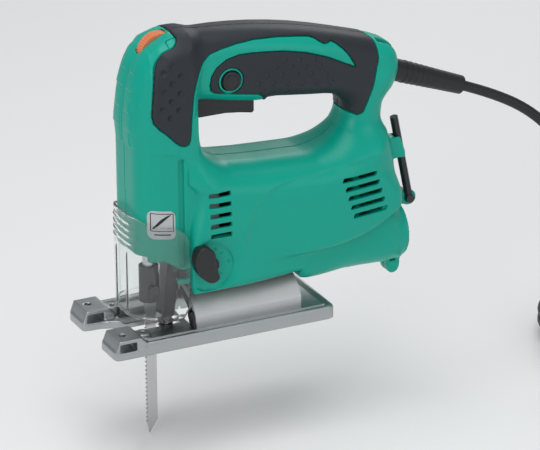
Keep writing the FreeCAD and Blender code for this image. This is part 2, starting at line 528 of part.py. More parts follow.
def make_rod():
    slot_half = CRANK_ROLLER_R + YOKE_PLAY
    yoke_half = CRANK_THROW + CRANK_ROLLER_R + 3.5
    yoke = block(YOKE_X0, YOKE_X1, -yoke_half, yoke_half, GEAR_Z - slot_half - 3, GEAR_Z + slot_half + 3)
    slot = block(ROD_R + 0.05, YOKE_X1 + 1, -yoke_half + 2.5, yoke_half - 2.5,
                 GEAR_Z - slot_half, GEAR_Z + slot_half)
    sides = [block(YOKE_X0 - 1, ROD_R + 0.1, s * 12.0 - 8.0, s * 12.0 + 8.0,
                   GEAR_Z - slot_half, GEAR_Z + slot_half) for s in (-1, 1)]
    rod = rod_z(ROD_R, ROD_FOOT, ROD_TOP)
    add("reciprocating_rod", fuse(rod, cut(yoke, slot, *[s.cut(rod) for s in sides])))


def make_guide():
    front = -ROD_R - 5.0
    spine = block(front, front + 3.0, -GUIDE_HALF, GUIDE_HALF, 62.0, GUIDE_PIVOT_Z + 5)
    upper = block(front, 7.0, -GUIDE_HALF, GUIDE_HALF, 126.0, GUIDE_PIVOT_Z + 5)
    lower = block(front, 7.5, -GUIDE_HALF, GUIDE_HALF, 62.0, 76.0)
    body = fuse(spine, upper, lower)
    body = cut(body, rod_z(BUSH_R, 60.0, 76.5), rod_z(BUSH_R, 120.0, 140.0),
               rod_z(ROD_R + 0.4, 120.0, ROD_TOP + STROKE / 2 + 2),
               rod_y(GUIDE_PIN_R + RUN, -30, 30, 0.0, GUIDE_PIVOT_Z))
    add("rod_guide", body)
    bushes = [rod_z(BUSH_R, z0, z0 + 12.0).cut(rod_z(ROD_R + RUN, z0 - 1, z0 + 13))
              for z0 in (63.0, 127.0)]
    add("guide_bushes", *bushes)


def make_blade():
    holder = rod_z(HOLDER_R, HOLDER_Z0, HOLDER_Z1)
    shank_x0 = BLADE_BACK - BLADE_W
    slot = block(shank_x0 - 0.1, BLADE_BACK + 0.1, -BLADE_T / 2 - 0.05, BLADE_T / 2 + 0.05,
                 HOLDER_Z0 - 1, BLADE_ROOT_Z + 0.2)
    holder = cut(holder, rod_z(ROD_R, ROD_FOOT, HOLDER_Z1 + 1), slot,
                 rod_y(1.95, -20.0, -BLADE_T / 2, 0.0, 30.0),
                 rod_y(1.95, 1.0, 20.0, 0.0, 30.0))
    add("blade_holder", holder)
    socket = Part.makeCylinder(1.6, 3.0, V(0, -9.5, 30.0), V(0, 1, 0))
    bolt = fuse(rod_y(1.9, -8.0, -BLADE_T / 2 - 0.05, 0.0, 30.0), rod_y(3.4, -9.6, -6.6, 0.0, 30.0))
    add("blade_clamp_bolt", bolt.cut(socket))
    teeth = []
    z = BLADE_TIP + 6.0
    front = BLADE_BACK - BLADE_W
    while z < 14.0:
        teeth += [(front + TOOTH_DEPTH, z), (front, z + TOOTH_PITCH * 0.85)]
        z += TOOTH_PITCH
    outline = [(BLADE_BACK, BLADE_ROOT_Z), (BLADE_BACK, BLADE_TIP + 9.0), (front + 2.0, BLADE_TIP)] + \
        teeth + [(front, 16.0), (front, BLADE_ROOT_Z)]
    add("saw_blade", prism_y(outline, -BLADE_T / 2, BLADE_T / 2))


def make_retainer():
    arm = [(RETAINER_PIVOT_X - 4, RETAINER_PIVOT_Z + 3.5), (RETAINER_PIVOT_X + 4, RETAINER_PIVOT_Z + 3.5),
           (RETAINER_PIVOT_X + 4, RETAINER_PIVOT_Z - 6), (ROLLER_X + 6.5, ROLLER_Z + 14),
           (ROLLER_X + 4.0, ROLLER_Z - 3.5), (ROLLER_X - 3.0, ROLLER_Z - 3.5),
           (ROLLER_X - 1.5, ROLLER_Z + 12), (RETAINER_PIVOT_X - 5, RETAINER_PIVOT_Z - 8)]
    body = prism_y(arm, -RETAINER_HALF, RETAINER_HALF)
    fork = block(ROLLER_X - 8, ROLLER_X + ROLLER_R + 0.5, -ROLLER_W / 2 - 0.3, ROLLER_W / 2 + 0.3,
                 ROLLER_Z - 8, ROLLER_Z + ROLLER_R + 1)
    body = cut(body, fork, rod_y(PIN_R, -9, 9, ROLLER_X, ROLLER_Z),
               rod_y(PIN_R + RUN, -9, 9, RETAINER_PIVOT_X, RETAINER_PIVOT_Z))
    add("roller_retainer", body)
    add("roller_pin", rod_y(PIN_R, -RETAINER_HALF, RETAINER_HALF, ROLLER_X, ROLLER_Z))
    wheel = rod_y(ROLLER_R, -ROLLER_W / 2, ROLLER_W / 2, ROLLER_X, ROLLER_Z)
    add("blade_roller", wheel.cut(rod_y(PIN_R + RUN, -9, 9, ROLLER_X, ROLLER_Z)))


# ---------------------------------------------------------------- sole
def rounded_plan(x0, x1, half, corner, steps=6):
    """Plan outline (x, y) with square front corners and rounded rear ones."""
    points = [(x0, -half)]
    for k in range(steps + 1):
        a = -math.pi / 2 + math.pi / 2 * k / steps
        points.append((x1 - corner + corner * math.cos(a), -half + corner + corner * math.sin(a)))
    for k in range(steps + 1):
        a = math.pi / 2 * k / steps
        points.append((x1 - corner + corner * math.cos(a), half - corner + corner * math.sin(a)))
    return points + [(x0, half)]


def make_sole():
    plan = rounded_plan(SOLE_X0, SOLE_X1, SOLE_HALF, 9.0)
    floor = prism_z(plan, 0.0, SOLE_T)
    border = prism_z(plan, 0.0, RIM_TOP).cut(
        prism_z(rounded_plan(SOLE_X0 - 1, SOLE_X1 - RIM_W, SOLE_HALF - RIM_W, 5.0), -1.0, RIM_TOP + 1))
    ribs = [block(SOLE_X0, SOLE_X1 - 4, s * 24.0 - 2.0, s * 24.0 + 2.0, 0.0, RIM_TOP - 1.5) for s in (-1, 1)]
    boxes = [block(SOLE_X0, PRONG_X1, *sorted((s * 14.0, s * SOLE_HALF)), 0.0, PRONG_TOP) for s in (-1, 1)]
    seats = [block(CRADLE_X0, CRADLE_X1, *sorted((s * 22.0, s * 33.0)), 0.0, 13.5) for s in (-1, 1)]
    sole = fuse(floor, border, *(ribs + boxes + seats))
    gap = prism_z([(SOLE_X0 - 1, -PRONG_INNER), (SOLE_X0 + 8, -PRONG_INNER), (PRONG_X1 + 2, -BLADE_GAP),
                   (19.0, -BLADE_GAP), (19.0, BLADE_GAP), (PRONG_X1 + 2, BLADE_GAP),
                   (SOLE_X0 + 8, PRONG_INNER), (SOLE_X0 - 1, PRONG_INNER)], -1.0, 40.0)
    fence = block(FENCE_X0, FENCE_X1, -50, 50, FENCE_Z0, FENCE_Z1)
    fence_x = (FENCE_X0 + FENCE_X1) / 2
    holes = [rod_z(CLAMP_HOLE_R, FENCE_Z1 - 1, 20.0, fence_x, s * 27.5) for s in (-1, 1)]
    well_x0, well_x1, well_half = CRADLE_X0 + 4, CRADLE_X1 - 4, 20.0
    well = block(well_x0, well_x1, -well_half, well_half, -1.0, 30.0)
    socket = rod_x(CRADLE_R + 0.02, CRADLE_X0, CRADLE_X1 + 0.1)
    under = rod_x(CRADLE_R - CRADLE_T - 0.02, CRADLE_X0 - 1, CRADLE_X1 + 1)
    sole = cut(sole, gap, fence, well, *holes)
    sole = cut(sole, socket.cut(under).common(block(0, 120, -40, 40, 6.0, 40)))
    sole = sorted(sole.Solids, key=lambda s: -s.Volume)[0]
    # one stamping, kept as lumps that meet face to face so that its openings stay open
    low, high = -1.0, 60.0
    for s, side in ((-1, "left"), (1, "right")):
        outer = sorted((s * 14.0, s * 60.0))
        rail = sorted((s * well_half, s * 60.0))
        inner = sorted((0.0, s * 14.0))
        middle = sorted((0.0, s * well_half))
        add("fence_frame_" + side, sole.common(block(SOLE_X0 - 5, PRONG_X1, *outer, low, high)))
        add("sole_rail_" + side, sole.common(block(PRONG_X1, SOLE_X1 + 5, *rail, low, high)))
        add("sole_toe_" + side, fuse(sole.common(block(SOLE_X0 - 5, PRONG_X1, *inner, low, high)),
                                     sole.common(block(PRONG_X1, 19.0, *middle, low, high))))
    add("sole_bridge", sole.common(block(19.0, well_x0, -well_half, well_half, low, high)))
    add("sole_heel", sole.common(block(well_x1, SOLE_X1 + 5, -well_half, well_half, low, high)))

    saddle = ring_x(CRADLE_R, CRADLE_R - CRADLE_T, CRADLE_X0, CRADLE_X1)
    saddle = saddle.common(block(CRADLE_X0, CRADLE_X1, -CRADLE_HALF, CRADLE_HALF, 6.0, 40.0))
    reach = CRADLE_R * math.sin(math.radians(TILT_HALF)) + BASE_BOLT_R + 1.0
    cross = [block(BASE_BOLT_X - 4.0, BASE_BOLT_X + 4.0, -reach, reach, 20, 40),
             block(BASE_BOLT_X - 14.0, BASE_BOLT_X + 4.0, -3.6, 3.6, 20, 40)]
    add("tilt_cradle", cut(saddle, *cross))
    nose = ring_x(CRADLE_R - CRADLE_T - 0.03, 24.0, CRADLE_X0, CRADLE_X0 + 3.0)
    nose = nose.common(block(0, 60, -21.9, 21.9, 12.0, 40.0))
    add("cradle_end_piece", nose)
    washer = ring_x(CRADLE_R - CRADLE_T - 0.1, CRADLE_R - CRADLE_T - 2.1, BASE_BOLT_X - 9, BASE_BOLT_X + 9)
    washer = washer.common(block(0, 100, -10.0, 10.0, 10.0, 40.0))
    add("tilt_clamp_washer", washer.cut(rod_z(BASE_BOLT_R + 0.05, 0, 50, BASE_BOLT_X)))
    head_top = CRADLE_R - CRADLE_T - 3.0
    bolt = fuse(rod_z(BASE_BOLT_R - 0.4, head_top - 1, 44.0, BASE_BOLT_X),
                rod_z(BASE_BOLT_R, head_top - 1, 32.0, BASE_BOLT_X),
                rod_z(5.0, head_top - 5.5, head_top, BASE_BOLT_X))
    hexagon = [(BASE_BOLT_X + 2.9 * math.cos(math.pi * k / 3), 2.9 * math.sin(math.pi * k / 3))
               for k in range(6)]
    add("tilt_clamp_bolt", bolt.cut(prism_z(hexagon, head_top - 7, head_top - 2)))


def make_cover():
    inner = COLUMN_HALF + COVER_GAP
    outer = inner + COVER_T
    front_in = COLUMN_FRONT - 1.2 - COVER_GAP
    front_out = front_in - COVER_T
    side = [(front_out, COVER_BOTTOM + 2), (front_out + 10, COVER_BOTTOM), (COVER_X1, COVER_BOTTOM),
            (COVER_X1, 62.0), (13.0, 69.0), (8.0, 74.0), (2.0, 78.0), (front_out, COVER_TOP)]
    solid = prism_y(side, -outer, outer)
    room = prism_y([(front_in, 0), (40, 0), (40, 120), (front_in, 120)], -inner, inner)
    add("dust_cover", solid.cut(room))


# ---------------------------------------------------------------- controls
def make_controls():
    upper_z = SWITCH_Z0 - TRIGGER_TRAVEL - SLIDE
    pad = prism_y([(TRIGGER_X0, 156.5), (TRIGGER_X0, 146.0), (44.0, 143.0), (58.0, 142.0),
                   (68.0, TRIGGER_Z0), (TRIGGER_X1, 143.0), (TRIGGER_X1, 153.0), (66.0, upper_z),
                   (42.0, upper_z)], -TRIGGER_HALF, TRIGGER_HALF)
    add("trigger", pad)
    switch = block(SWITCH_X0, SWITCH_X1, -SWITCH_HALF, SWITCH_HALF, SWITCH_Z0, SWITCH_Z1)
    button_room = rod_y(BUTTON_R + 0.5, -20.0, -SWITCH_HALF + 6.0, BUTTON_X, BUTTON_Z)
    add("trigger_switch", switch.cut(button_room))
    start = -HANDLE_HALF - GRIP_SKIN - BUTTON_TRAVEL
    cap = rod_y(BUTTON_R, start, start + 11.0, BUTTON_X, BUTTON_Z)
    stem = rod_y(2.5, start + 10.0, -SWITCH_HALF + 6.0 - BUTTON_TRAVEL - SLIDE, BUTTON_X, BUTTON_Z)
    add("lock_button", fuse(cap, stem))
    dial = rod_y(DIAL_R, -DIAL_W / 2, DIAL_W / 2, DIAL_X, DIAL_Z)
    grooves = []
    for k in range(36):
        a = math.radians(10.0 * k)
        x, z = DIAL_X + DIAL_R * math.cos(a), DIAL_Z + DIAL_R * math.sin(a)
        grooves.append(rod_y(0.55, -DIAL_W, DIAL_W, x, z))
    dial = dial.cut(Part.makeCompound(grooves)).cut(rod_y(2.5 + RUN, -DIAL_W, DIAL_W, DIAL_X, DIAL_Z))
    add("speed_dial", dial)
    board = fuse(block(DIAL_X - 12, DIAL_X + 24, DIAL_W / 2 + 1.5, 14.0, 172.0, 190.0),
                 rod_y(2.5, -DIAL_W / 2 - 1, DIAL_W / 2 + 2, DIAL_X, DIAL_Z))
    add("speed_controller", board)

    outer = -BODY_HALF
    disc = rod_y(LEVER_R, outer - 1.5, outer + 1.2, LEVER_X, LEVER_Z)
    knob = block(LEVER_X - 4.0, LEVER_X + 4.0, outer - 6.5, outer - 1.0, LEVER_Z - 9.0, LEVER_Z + 16.0)
    knob.rotate(V(LEVER_X, 0, LEVER_Z), V(0, 1, 0), -14.0)
    shaft = rod_y(LEVER_SHAFT_R, outer + 1.0, -8.0, LEVER_X, LEVER_Z)
    add("orbital_lever", fuse(disc, knob, shaft))


def make_key_and_guard():
    low = V(KEY_FOOT[0], KEY_Y, KEY_FOOT[1])
    along = V(KEY_TOP[0], KEY_Y, KEY_TOP[1]).sub(low)
    corners = [V(KEY_R * math.cos(math.pi * k / 3), KEY_R * math.sin(math.pi * k / 3), 0) for k in range(7)]
    face = Part.Face(Part.makePolygon(corners))
    bar = face.extrude(V(0, 0, along.Length))
    bar.Placement = FreeCAD.Placement(low, FreeCAD.Rotation(V(0, 0, 1), along))
    arm = face.extrude(V(0, 0, 18.0))
    arm.Placement = FreeCAD.Placement(low, FreeCAD.Rotation(V(0, 0, 1), V(0, 1, 0)))
    add("hex_key", fuse(bar, arm, rod_y(KEY_R, KEY_Y - KEY_R, KEY_Y + 3.0, *KEY_FOOT)))

    guard = Part.makeCone(GUARD_R0, GUARD_R1, GUARD_LENGTH - 4, guard_at(4.0), GUARD_DIRECTION)
    flange = Part.makeCylinder(GUARD_R0, 5.0, guard_at(0.0), GUARD_DIRECTION)
    bore = Part.makeCylinder(CORD_R, GUARD_LENGTH + 10, guard_at(-5.0), GUARD_DIRECTION)
    collars = [Part.makeCylinder(GUARD_R0 - 1.3 * k / 10, 1.5, guard_at(14.0 + 4.2 * k), GUARD_DIRECTION)
               for k in range(10)]
    add("cord_guard", cut(fuse(guard, flange, *collars), bore))
    screws = [rod_z(1.8, SHELF_Z - 5, SHELF_Z + 5, SHELF_X, y) for y in (-6.0, 6.0)]
    holes = [rod_z(1.85, SHELF_Z - 9, SHELF_Z + 9, SHELF_X, y) for y in (-6.0, 6.0)]
    plate = block(SHELF_X - 6, SHELF_X + 6, -9.0, 9.0, SHELF_Z + 0.05, SHELF_Z + 3.5)
    add("cord_clamp", cut(plate, *holes), *screws)


# ---------------------------------------------------------------- cord
CORD_ROUTE = [(252.0, -2.0, 118.8), (279.0, -12.0, 101.0), (298.0, -24.0, 73.0), (303.0, -30.0, 39.0),
              (289.0, -31.0, 4.0), (280.0, -30.0, -30.0), (285.5, -29.0, -50.7), (300.7, -28.3, -65.9),
              (321.5, -28.0, -71.4)]


def tube_along(points, radius):
    """A round tube along straight runs joined by tangent arcs as large as the runs allow."""
    points = [V(*p) for p in points]
    edges, here = [], points[0]
    for before, corner, after in zip(points, points[1:], points[2:]):
        u = corner.sub(before)
        w = after.sub(corner)
        shorter = min(u.Length, w.Length)
        turn = u.getAngle(w)
        reach = 0.45 * shorter
        u.normalize()
        w.normalize()
        start, end = corner.sub(u * reach), corner.add(w * reach)
        bend = reach / math.tan(turn / 2)
        bisector = w.sub(u)
        bisector.normalize()
        centre = corner.add(bisector * (bend / math.cos(turn / 2)))
        inward = corner.sub(centre)
        inward.normalize()
        middle = centre.add(inward * bend)
        print("cord arc radius", round(bend, 1))
        edges.append(Part.LineSegment(here, start).toShape())
        edges.append(Part.Arc(start, middle, end).toShape())
        here = end
    edges.append(Part.LineSegment(here, points[-1]).toShape())
    path = Part.Wire(edges)
    first = points[1].sub(points[0])
    profile = Part.Wire(Part.makeCircle(radius, points[0], first))
    tube = path.makePipeShell([profile], True, False)
    expected = math.pi * radius ** 2 * path.Length
    print("cord tube", round(path.Length, 1), "mm, volume ratio", round(tube.Volume / expected, 4))
    return tube


def make_cord():
    start = guard_at(GUARD_LENGTH - 2.0)
    end = (COIL_CENTRE[0], COIL_CENTRE[1] - COIL_MID_R, FLOOR_Z + CORD_R + 0.1)
    route = [tuple(start)] + CORD_ROUTE + [end]
    add("power_cord", tube_along(route, CORD_R - 0.02))


def make_coil():
    half = COIL_COLUMNS * CORD_R
    height = COIL_ROWS * 2 * CORD_R
    coil = Part.makeCylinder(COIL_MID_R + half, height, V(*COIL_CENTRE, FLOOR_Z))
    coil = coil.cut(Part.makeCylinder(COIL_MID_R - half, height + 2, V(*COIL_CENTRE, FLOOR_Z - 1)))
    add("cord_coil", coil)
    # the plug lies on the coil, over one side of the turns
    top = FLOOR_Z + height
    x, y, z = COIL_CENTRE[0] + COIL_MID_R - 8.0, COIL_CENTRE[1] - 8.0, top + 7.0
    tail = Part.makeCone(CORD_R + 0.5, 6.0, 16.0, V(x, y, z), V(0, 1, 0))
    body = block(x - 10.0, x + 10.0, y + 16.0, y + 48.0, top, top + 14.0)
    pins = [block(x + s * 6.0 - 0.8, x + s * 6.0 + 0.8, y + 48.0, y + 64.0, z - 3.0, z + 3.0)
            for s in (-1, 1)]
    add("mains_plug", fuse(body, tail, *pins))


# ---------------------------------------------------------------- build
make_housing()
make_grips()
make_motor()
make_field()
make_brushes()
make_gear_train()
make_gear_case()
make_rod()
make_guide()
make_blade()
make_retainer()
make_sole()
make_cover()
make_controls()
make_key_and_guard()
make_cord()
make_coil()

os.makedirs("parts", exist_ok=True)
for name, shape in nodes.items():
    shape.exportStep("parts/" + name + ".step")
    if not shape.isValid():
        print("INVALID", name)
print(len(nodes), "nodes")
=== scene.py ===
import json
import math

import bpy
import numpy as np
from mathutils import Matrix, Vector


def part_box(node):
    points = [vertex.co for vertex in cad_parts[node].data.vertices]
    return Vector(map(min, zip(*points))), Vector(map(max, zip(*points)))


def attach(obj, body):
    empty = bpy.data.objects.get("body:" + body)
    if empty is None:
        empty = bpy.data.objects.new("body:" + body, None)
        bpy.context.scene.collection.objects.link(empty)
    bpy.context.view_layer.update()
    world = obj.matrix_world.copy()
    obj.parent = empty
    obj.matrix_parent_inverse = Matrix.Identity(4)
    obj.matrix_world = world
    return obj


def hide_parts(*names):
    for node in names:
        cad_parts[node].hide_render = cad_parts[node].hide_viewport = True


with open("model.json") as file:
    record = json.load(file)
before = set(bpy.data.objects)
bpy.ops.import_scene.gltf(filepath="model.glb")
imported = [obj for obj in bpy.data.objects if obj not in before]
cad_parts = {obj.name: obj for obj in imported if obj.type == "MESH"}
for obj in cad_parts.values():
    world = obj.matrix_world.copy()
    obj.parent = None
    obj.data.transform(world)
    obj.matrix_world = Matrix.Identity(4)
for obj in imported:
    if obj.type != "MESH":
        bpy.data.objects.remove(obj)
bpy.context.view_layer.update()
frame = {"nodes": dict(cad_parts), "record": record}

import openvdb as vdb
from mathutils import Matrix, Vector

scene = bpy.context.scene
nodes = frame["nodes"]
MM = 0.001


# ---------------------------------------------------------------- camera, floor, light
def aim(obj, target, roll=0.0):
    direction = Vector(target) - obj.location
    turn = direction.to_track_quat("-Z", "Y").to_matrix()
    obj.rotation_euler = (turn @ Matrix.Rotation(math.radians(roll), 3, "Z")).to_euler()


def make_camera():
    yaw, pitch, distance = math.radians(-25.644), math.radians(22.552), 2.5
    target = Vector((0.086033, 0.0, 0.056155))
    back = Vector((math.sin(yaw) * math.cos(pitch), -math.cos(yaw) * math.cos(pitch), math.sin(pitch)))
    data = bpy.data.cameras.new("camera")
    data.lens, data.sensor_width = 258.69, 36.0
    data.clip_start, data.clip_end = 0.1, 30.0
    camera = bpy.data.objects.new("camera", data)
    scene.collection.objects.link(camera)
    camera.location = target + back * distance
    aim(camera, target, roll=-0.380)
    scene.camera = camera


def area_light(name, location, target, size, watts, colour=(1.0, 1.0, 1.0)):
    data = bpy.data.lights.new(name, "AREA")
    data.shape, data.size, data.size_y = "RECTANGLE", size[0], size[1]
    data.energy, data.color = watts, colour
    lamp = bpy.data.objects.new(name, data)
    scene.collection.objects.link(lamp)
    lamp.location = location
    aim(lamp, target)


def make_studio():
    world = bpy.data.worlds.new("studio")
    scene.world = world
    world.use_nodes = True
    background = world.node_tree.nodes["Background"]
    background.inputs["Color"].default_value = (0.96, 0.98, 1.0, 1.0)
    background.inputs["Strength"].default_value = 0.36
    middle = (0.08, 0.0, 0.08)
    area_light("overhead", (-0.1, -0.15, 1.5), middle, (1.4, 1.1), 12.5)
    area_light("left_front", (-1.3, -1.1, 0.75), middle, (0.8, 0.9), 6.5)
    area_light("side_fill", (0.9, -1.5, 0.5), middle, (0.9, 0.7), 2.5)
    area_light("rear_rim", (1.1, 1.2, 0.9), middle, (0.7, 0.7), 4.0)
    scene.view_settings.view_transform = "Standard"
    floor_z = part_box("cord_coil")[0].z - 0.0002
    mesh = bpy.data.meshes.new("floor")
    reach = 8.0
    mesh.from_pydata([(-reach, -reach, floor_z), (reach, -reach, floor_z), (reach, reach, floor_z),
                      (-reach, reach, floor_z)], [], [(0, 1, 2, 3)])
    floor = bpy.data.objects.new("floor", mesh)
    scene.collection.objects.link(floor)
    mesh.materials.append(plain_floor())


def plain_floor():
    material = bpy.data.materials.new("floor")
    material.use_nodes = True
    shader = material.node_tree.nodes["Principled BSDF"]
    shader.inputs["Base Color"].default_value = (0.93, 0.93, 0.93, 1.0)
    shader.inputs["Roughness"].default_value = 0.9
    shader.inputs["Specular IOR Level"].default_value = 0.1
    return material


# ---------------------------------------------------------------- materials
class Finish:
    """A Principled material with noise-driven colour, roughness and bump."""

    def __init__(self, name, colour, rough, metal=0.0, vary=0.06, rough_vary=0.06, grain=900.0,
                 bump=0.04, patch=35.0, specular=0.5, coat=0.0, streak=None, edge_highlight=0.0, clear=0.0, ior=1.45):
        self.material = bpy.data.materials.new(name)
        self.material.use_nodes = True
        tree = self.material.node_tree
        self.tree, self.links = tree, tree.links
        shader = tree.nodes["Principled BSDF"]
        shader.inputs["Metallic"].default_value = metal
        shader.inputs["Specular IOR Level"].default_value = specular
        shader.inputs["Coat Weight"].default_value = coat
        shader.inputs["IOR"].default_value = ior
        if coat:
            shader.inputs["Coat Roughness"].default_value = 0.2
        if clear:
            shader.inputs["Transmission Weight"].default_value = clear
        place = tree.nodes.new("ShaderNodeTexCoord").outputs["Object"]
        if streak:
            mapping = tree.nodes.new("ShaderNodeMapping")
            mapping.inputs["Scale"].default_value = streak
            self.links.new(place, mapping.inputs["Vector"])
            fine_place = mapping.outputs["Vector"]
        else:
            fine_place = place
        fine = self.noise(fine_place, grain, 3.0)
        broad = self.noise(place, patch, 4.0)
        mix = tree.nodes.new("ShaderNodeMix")
        mix.data_type = "RGBA"
        self.links.new(broad, mix.inputs["Factor"])
        dark = tuple(c * (1.0 - vary) for c in colour) + (1.0,)
        light = tuple(min(1.0, c * (1.0 + vary)) for c in colour) + (1.0,)
        mix.inputs["A"].default_value, mix.inputs["B"].default_value = dark, light
        result = mix.outputs["Result"]
        # painted highlight: convex edges are mixed towards a lighter colour, standing in for the light they
        # catch
        if edge_highlight:
            edge = self.edges(edge_highlight)
            edge_highlight_mix = tree.nodes.new("ShaderNodeMix")
            edge_highlight_mix.data_type = "RGBA"
            self.links.new(edge, edge_highlight_mix.inputs["Factor"])
            self.links.new(result, edge_highlight_mix.inputs["A"])
            edge_highlight_mix.inputs["B"].default_value = tuple(min(1.0, c * 1.35 + 0.02) for c in colour) + (1.0,)
            result = edge_highlight_mix.outputs["Result"]
        self.links.new(result, shader.inputs["Base Color"])
        spread = tree.nodes.new("ShaderNodeMapRange")
        self.links.new(fine if streak else broad, spread.inputs["Value"])
        spread.inputs["To Min"].default_value = max(0.02, rough - rough_vary)
        spread.inputs["To Max"].default_value = min(1.0, rough + rough_vary)
        self.links.new(spread.outputs["Result"], shader.inputs["Roughness"])
        if bump:
            node = tree.nodes.new("ShaderNodeBump")
            node.inputs["Strength"].default_value = bump
            node.inputs["Distance"].default_value = 0.0004
            self.links.new(fine, node.inputs["Height"])
            self.links.new(node.outputs["Normal"], shader.inputs["Normal"])

    def noise(self, place, scale, detail):
        node = self.tree.nodes.new("ShaderNodeTexNoise")
        node.inputs["Scale"].default_value = scale
        node.inputs["Detail"].default_value = detail
        self.links.new(place, node.inputs["Vector"])
        return node.outputs["Fac"]

    def edges(self, amount):
        """Lighter where the surface turns sharply outwards: a painted highlight along convex edges."""
        geometry = self.tree.nodes.new("ShaderNodeNewGeometry")
        lift = self.tree.nodes.new("ShaderNodeMapRange")
        self.links.new(geometry.outputs["Pointiness"], lift.inputs["Value"])
        lift.inputs["From Min"].default_value, lift.inputs["From Max"].default_value = 0.52, 0.62
        lift.inputs["To Min"].default_value, lift.inputs["To Max"].default_value = 0.0, amount
        return lift.outputs["Result"]


# in these entries, the amount that lightens convex edges is a painted highlight
FINISHES = {
    "green_plastic": dict(colour=(0.0, 0.385, 0.285), rough=0.34, vary=0.04, grain=1500.0, bump=0.05,
                          specular=0.35, edge_highlight=0.12),
    "black_rubber": dict(colour=(0.020, 0.025, 0.032), rough=0.52, vary=0.12, grain=1900.0, bump=0.16,
                         specular=0.45, edge_highlight=0.15),
    "black_plastic": dict(colour=(0.017, 0.018, 0.021), rough=0.38, vary=0.1, grain=1400.0, bump=0.05),
    "clear_plastic": dict(colour=(0.965, 0.99, 0.985), rough=0.05, vary=0.01, rough_vary=0.02, grain=300.0,
                          bump=0.01, clear=0.97, ior=1.28),
    # darker than bare cast metal: partly the grey of a cast gear housing, partly painted shade for the gear
    # case seen through the vents
    "cast_aluminium": dict(colour=(0.24, 0.245, 0.25), rough=0.42, metal=1.0, grain=700.0, bump=0.12,
                           vary=0.1),
    "steel": dict(colour=(0.56, 0.56, 0.57), rough=0.3, metal=1.0, grain=1200.0, bump=0.03, vary=0.06,
                  streak=(1.0, 1.0, 0.08)),
    "pressed_steel": dict(colour=(0.42, 0.44, 0.45), rough=0.38, metal=1.0, grain=1700.0, bump=0.10, vary=0.1,
                          rough_vary=0.1),
    "dark_steel": dict(colour=(0.050, 0.050, 0.055), rough=0.4, metal=0.75, grain=1500.0, bump=0.06,
                       vary=0.15, edge_highlight=0.25),
    "laminations": dict(colour=(0.12, 0.12, 0.13), rough=0.5, metal=0.8, grain=1400.0, bump=0.2,
                        streak=(1.6, 0.02, 0.02)),
    "copper": dict(colour=(0.50, 0.19, 0.06), rough=0.3, metal=0.9, grain=1300.0, bump=0.3,
                   streak=(0.1, 1.0, 1.0), coat=0.4),
    "carbon": dict(colour=(0.03, 0.03, 0.03), rough=0.6, metal=0.2, grain=1600.0, bump=0.1),
    "bronze": dict(colour=(0.42, 0.25, 0.09), rough=0.4, metal=1.0, grain=1300.0, bump=0.08),
    "orange_plastic": dict(colour=(0.80, 0.245, 0.105), rough=0.42, vary=0.08, grain=1200.0, bump=0.06),
    "bright_cast": dict(colour=(0.66, 0.67, 0.68), rough=0.48, metal=0.7, grain=900.0, bump=0.14, vary=0.08),
    "label_silver": dict(colour=(0.55, 0.57, 0.58), rough=0.45, metal=0.3, grain=1200.0, bump=0.03),
    "cord_rubber": dict(colour=(0.016, 0.017, 0.019), rough=0.45, vary=0.12, grain=1500.0, bump=0.06),
}
materials = {name: Finish(name, **values).material for name, values in FINISHES.items()}


def finish_nodes():
    """Gives every carried-over solid the finish that the record names."""
    slots = {part["node"]: part["material_slot"] for part in frame["record"]["subparts"]}
    for name, obj in nodes.items():
        obj.data.materials.clear()
        look = "bright_cast" if name == "tilt_cradle" else slots[name]
        obj.data.materials.append(materials[look])


# ---------------------------------------------------------------- cord
def ramp(value, a, b):
    """0 below a, 1 above b, eased between."""
    t = np.clip((value - a) / (b - a), 0, 1)
    return t * t * (3 - 2 * t)


def millimetres(*points):
    return [tuple(c * MM for c in p) for p in points]


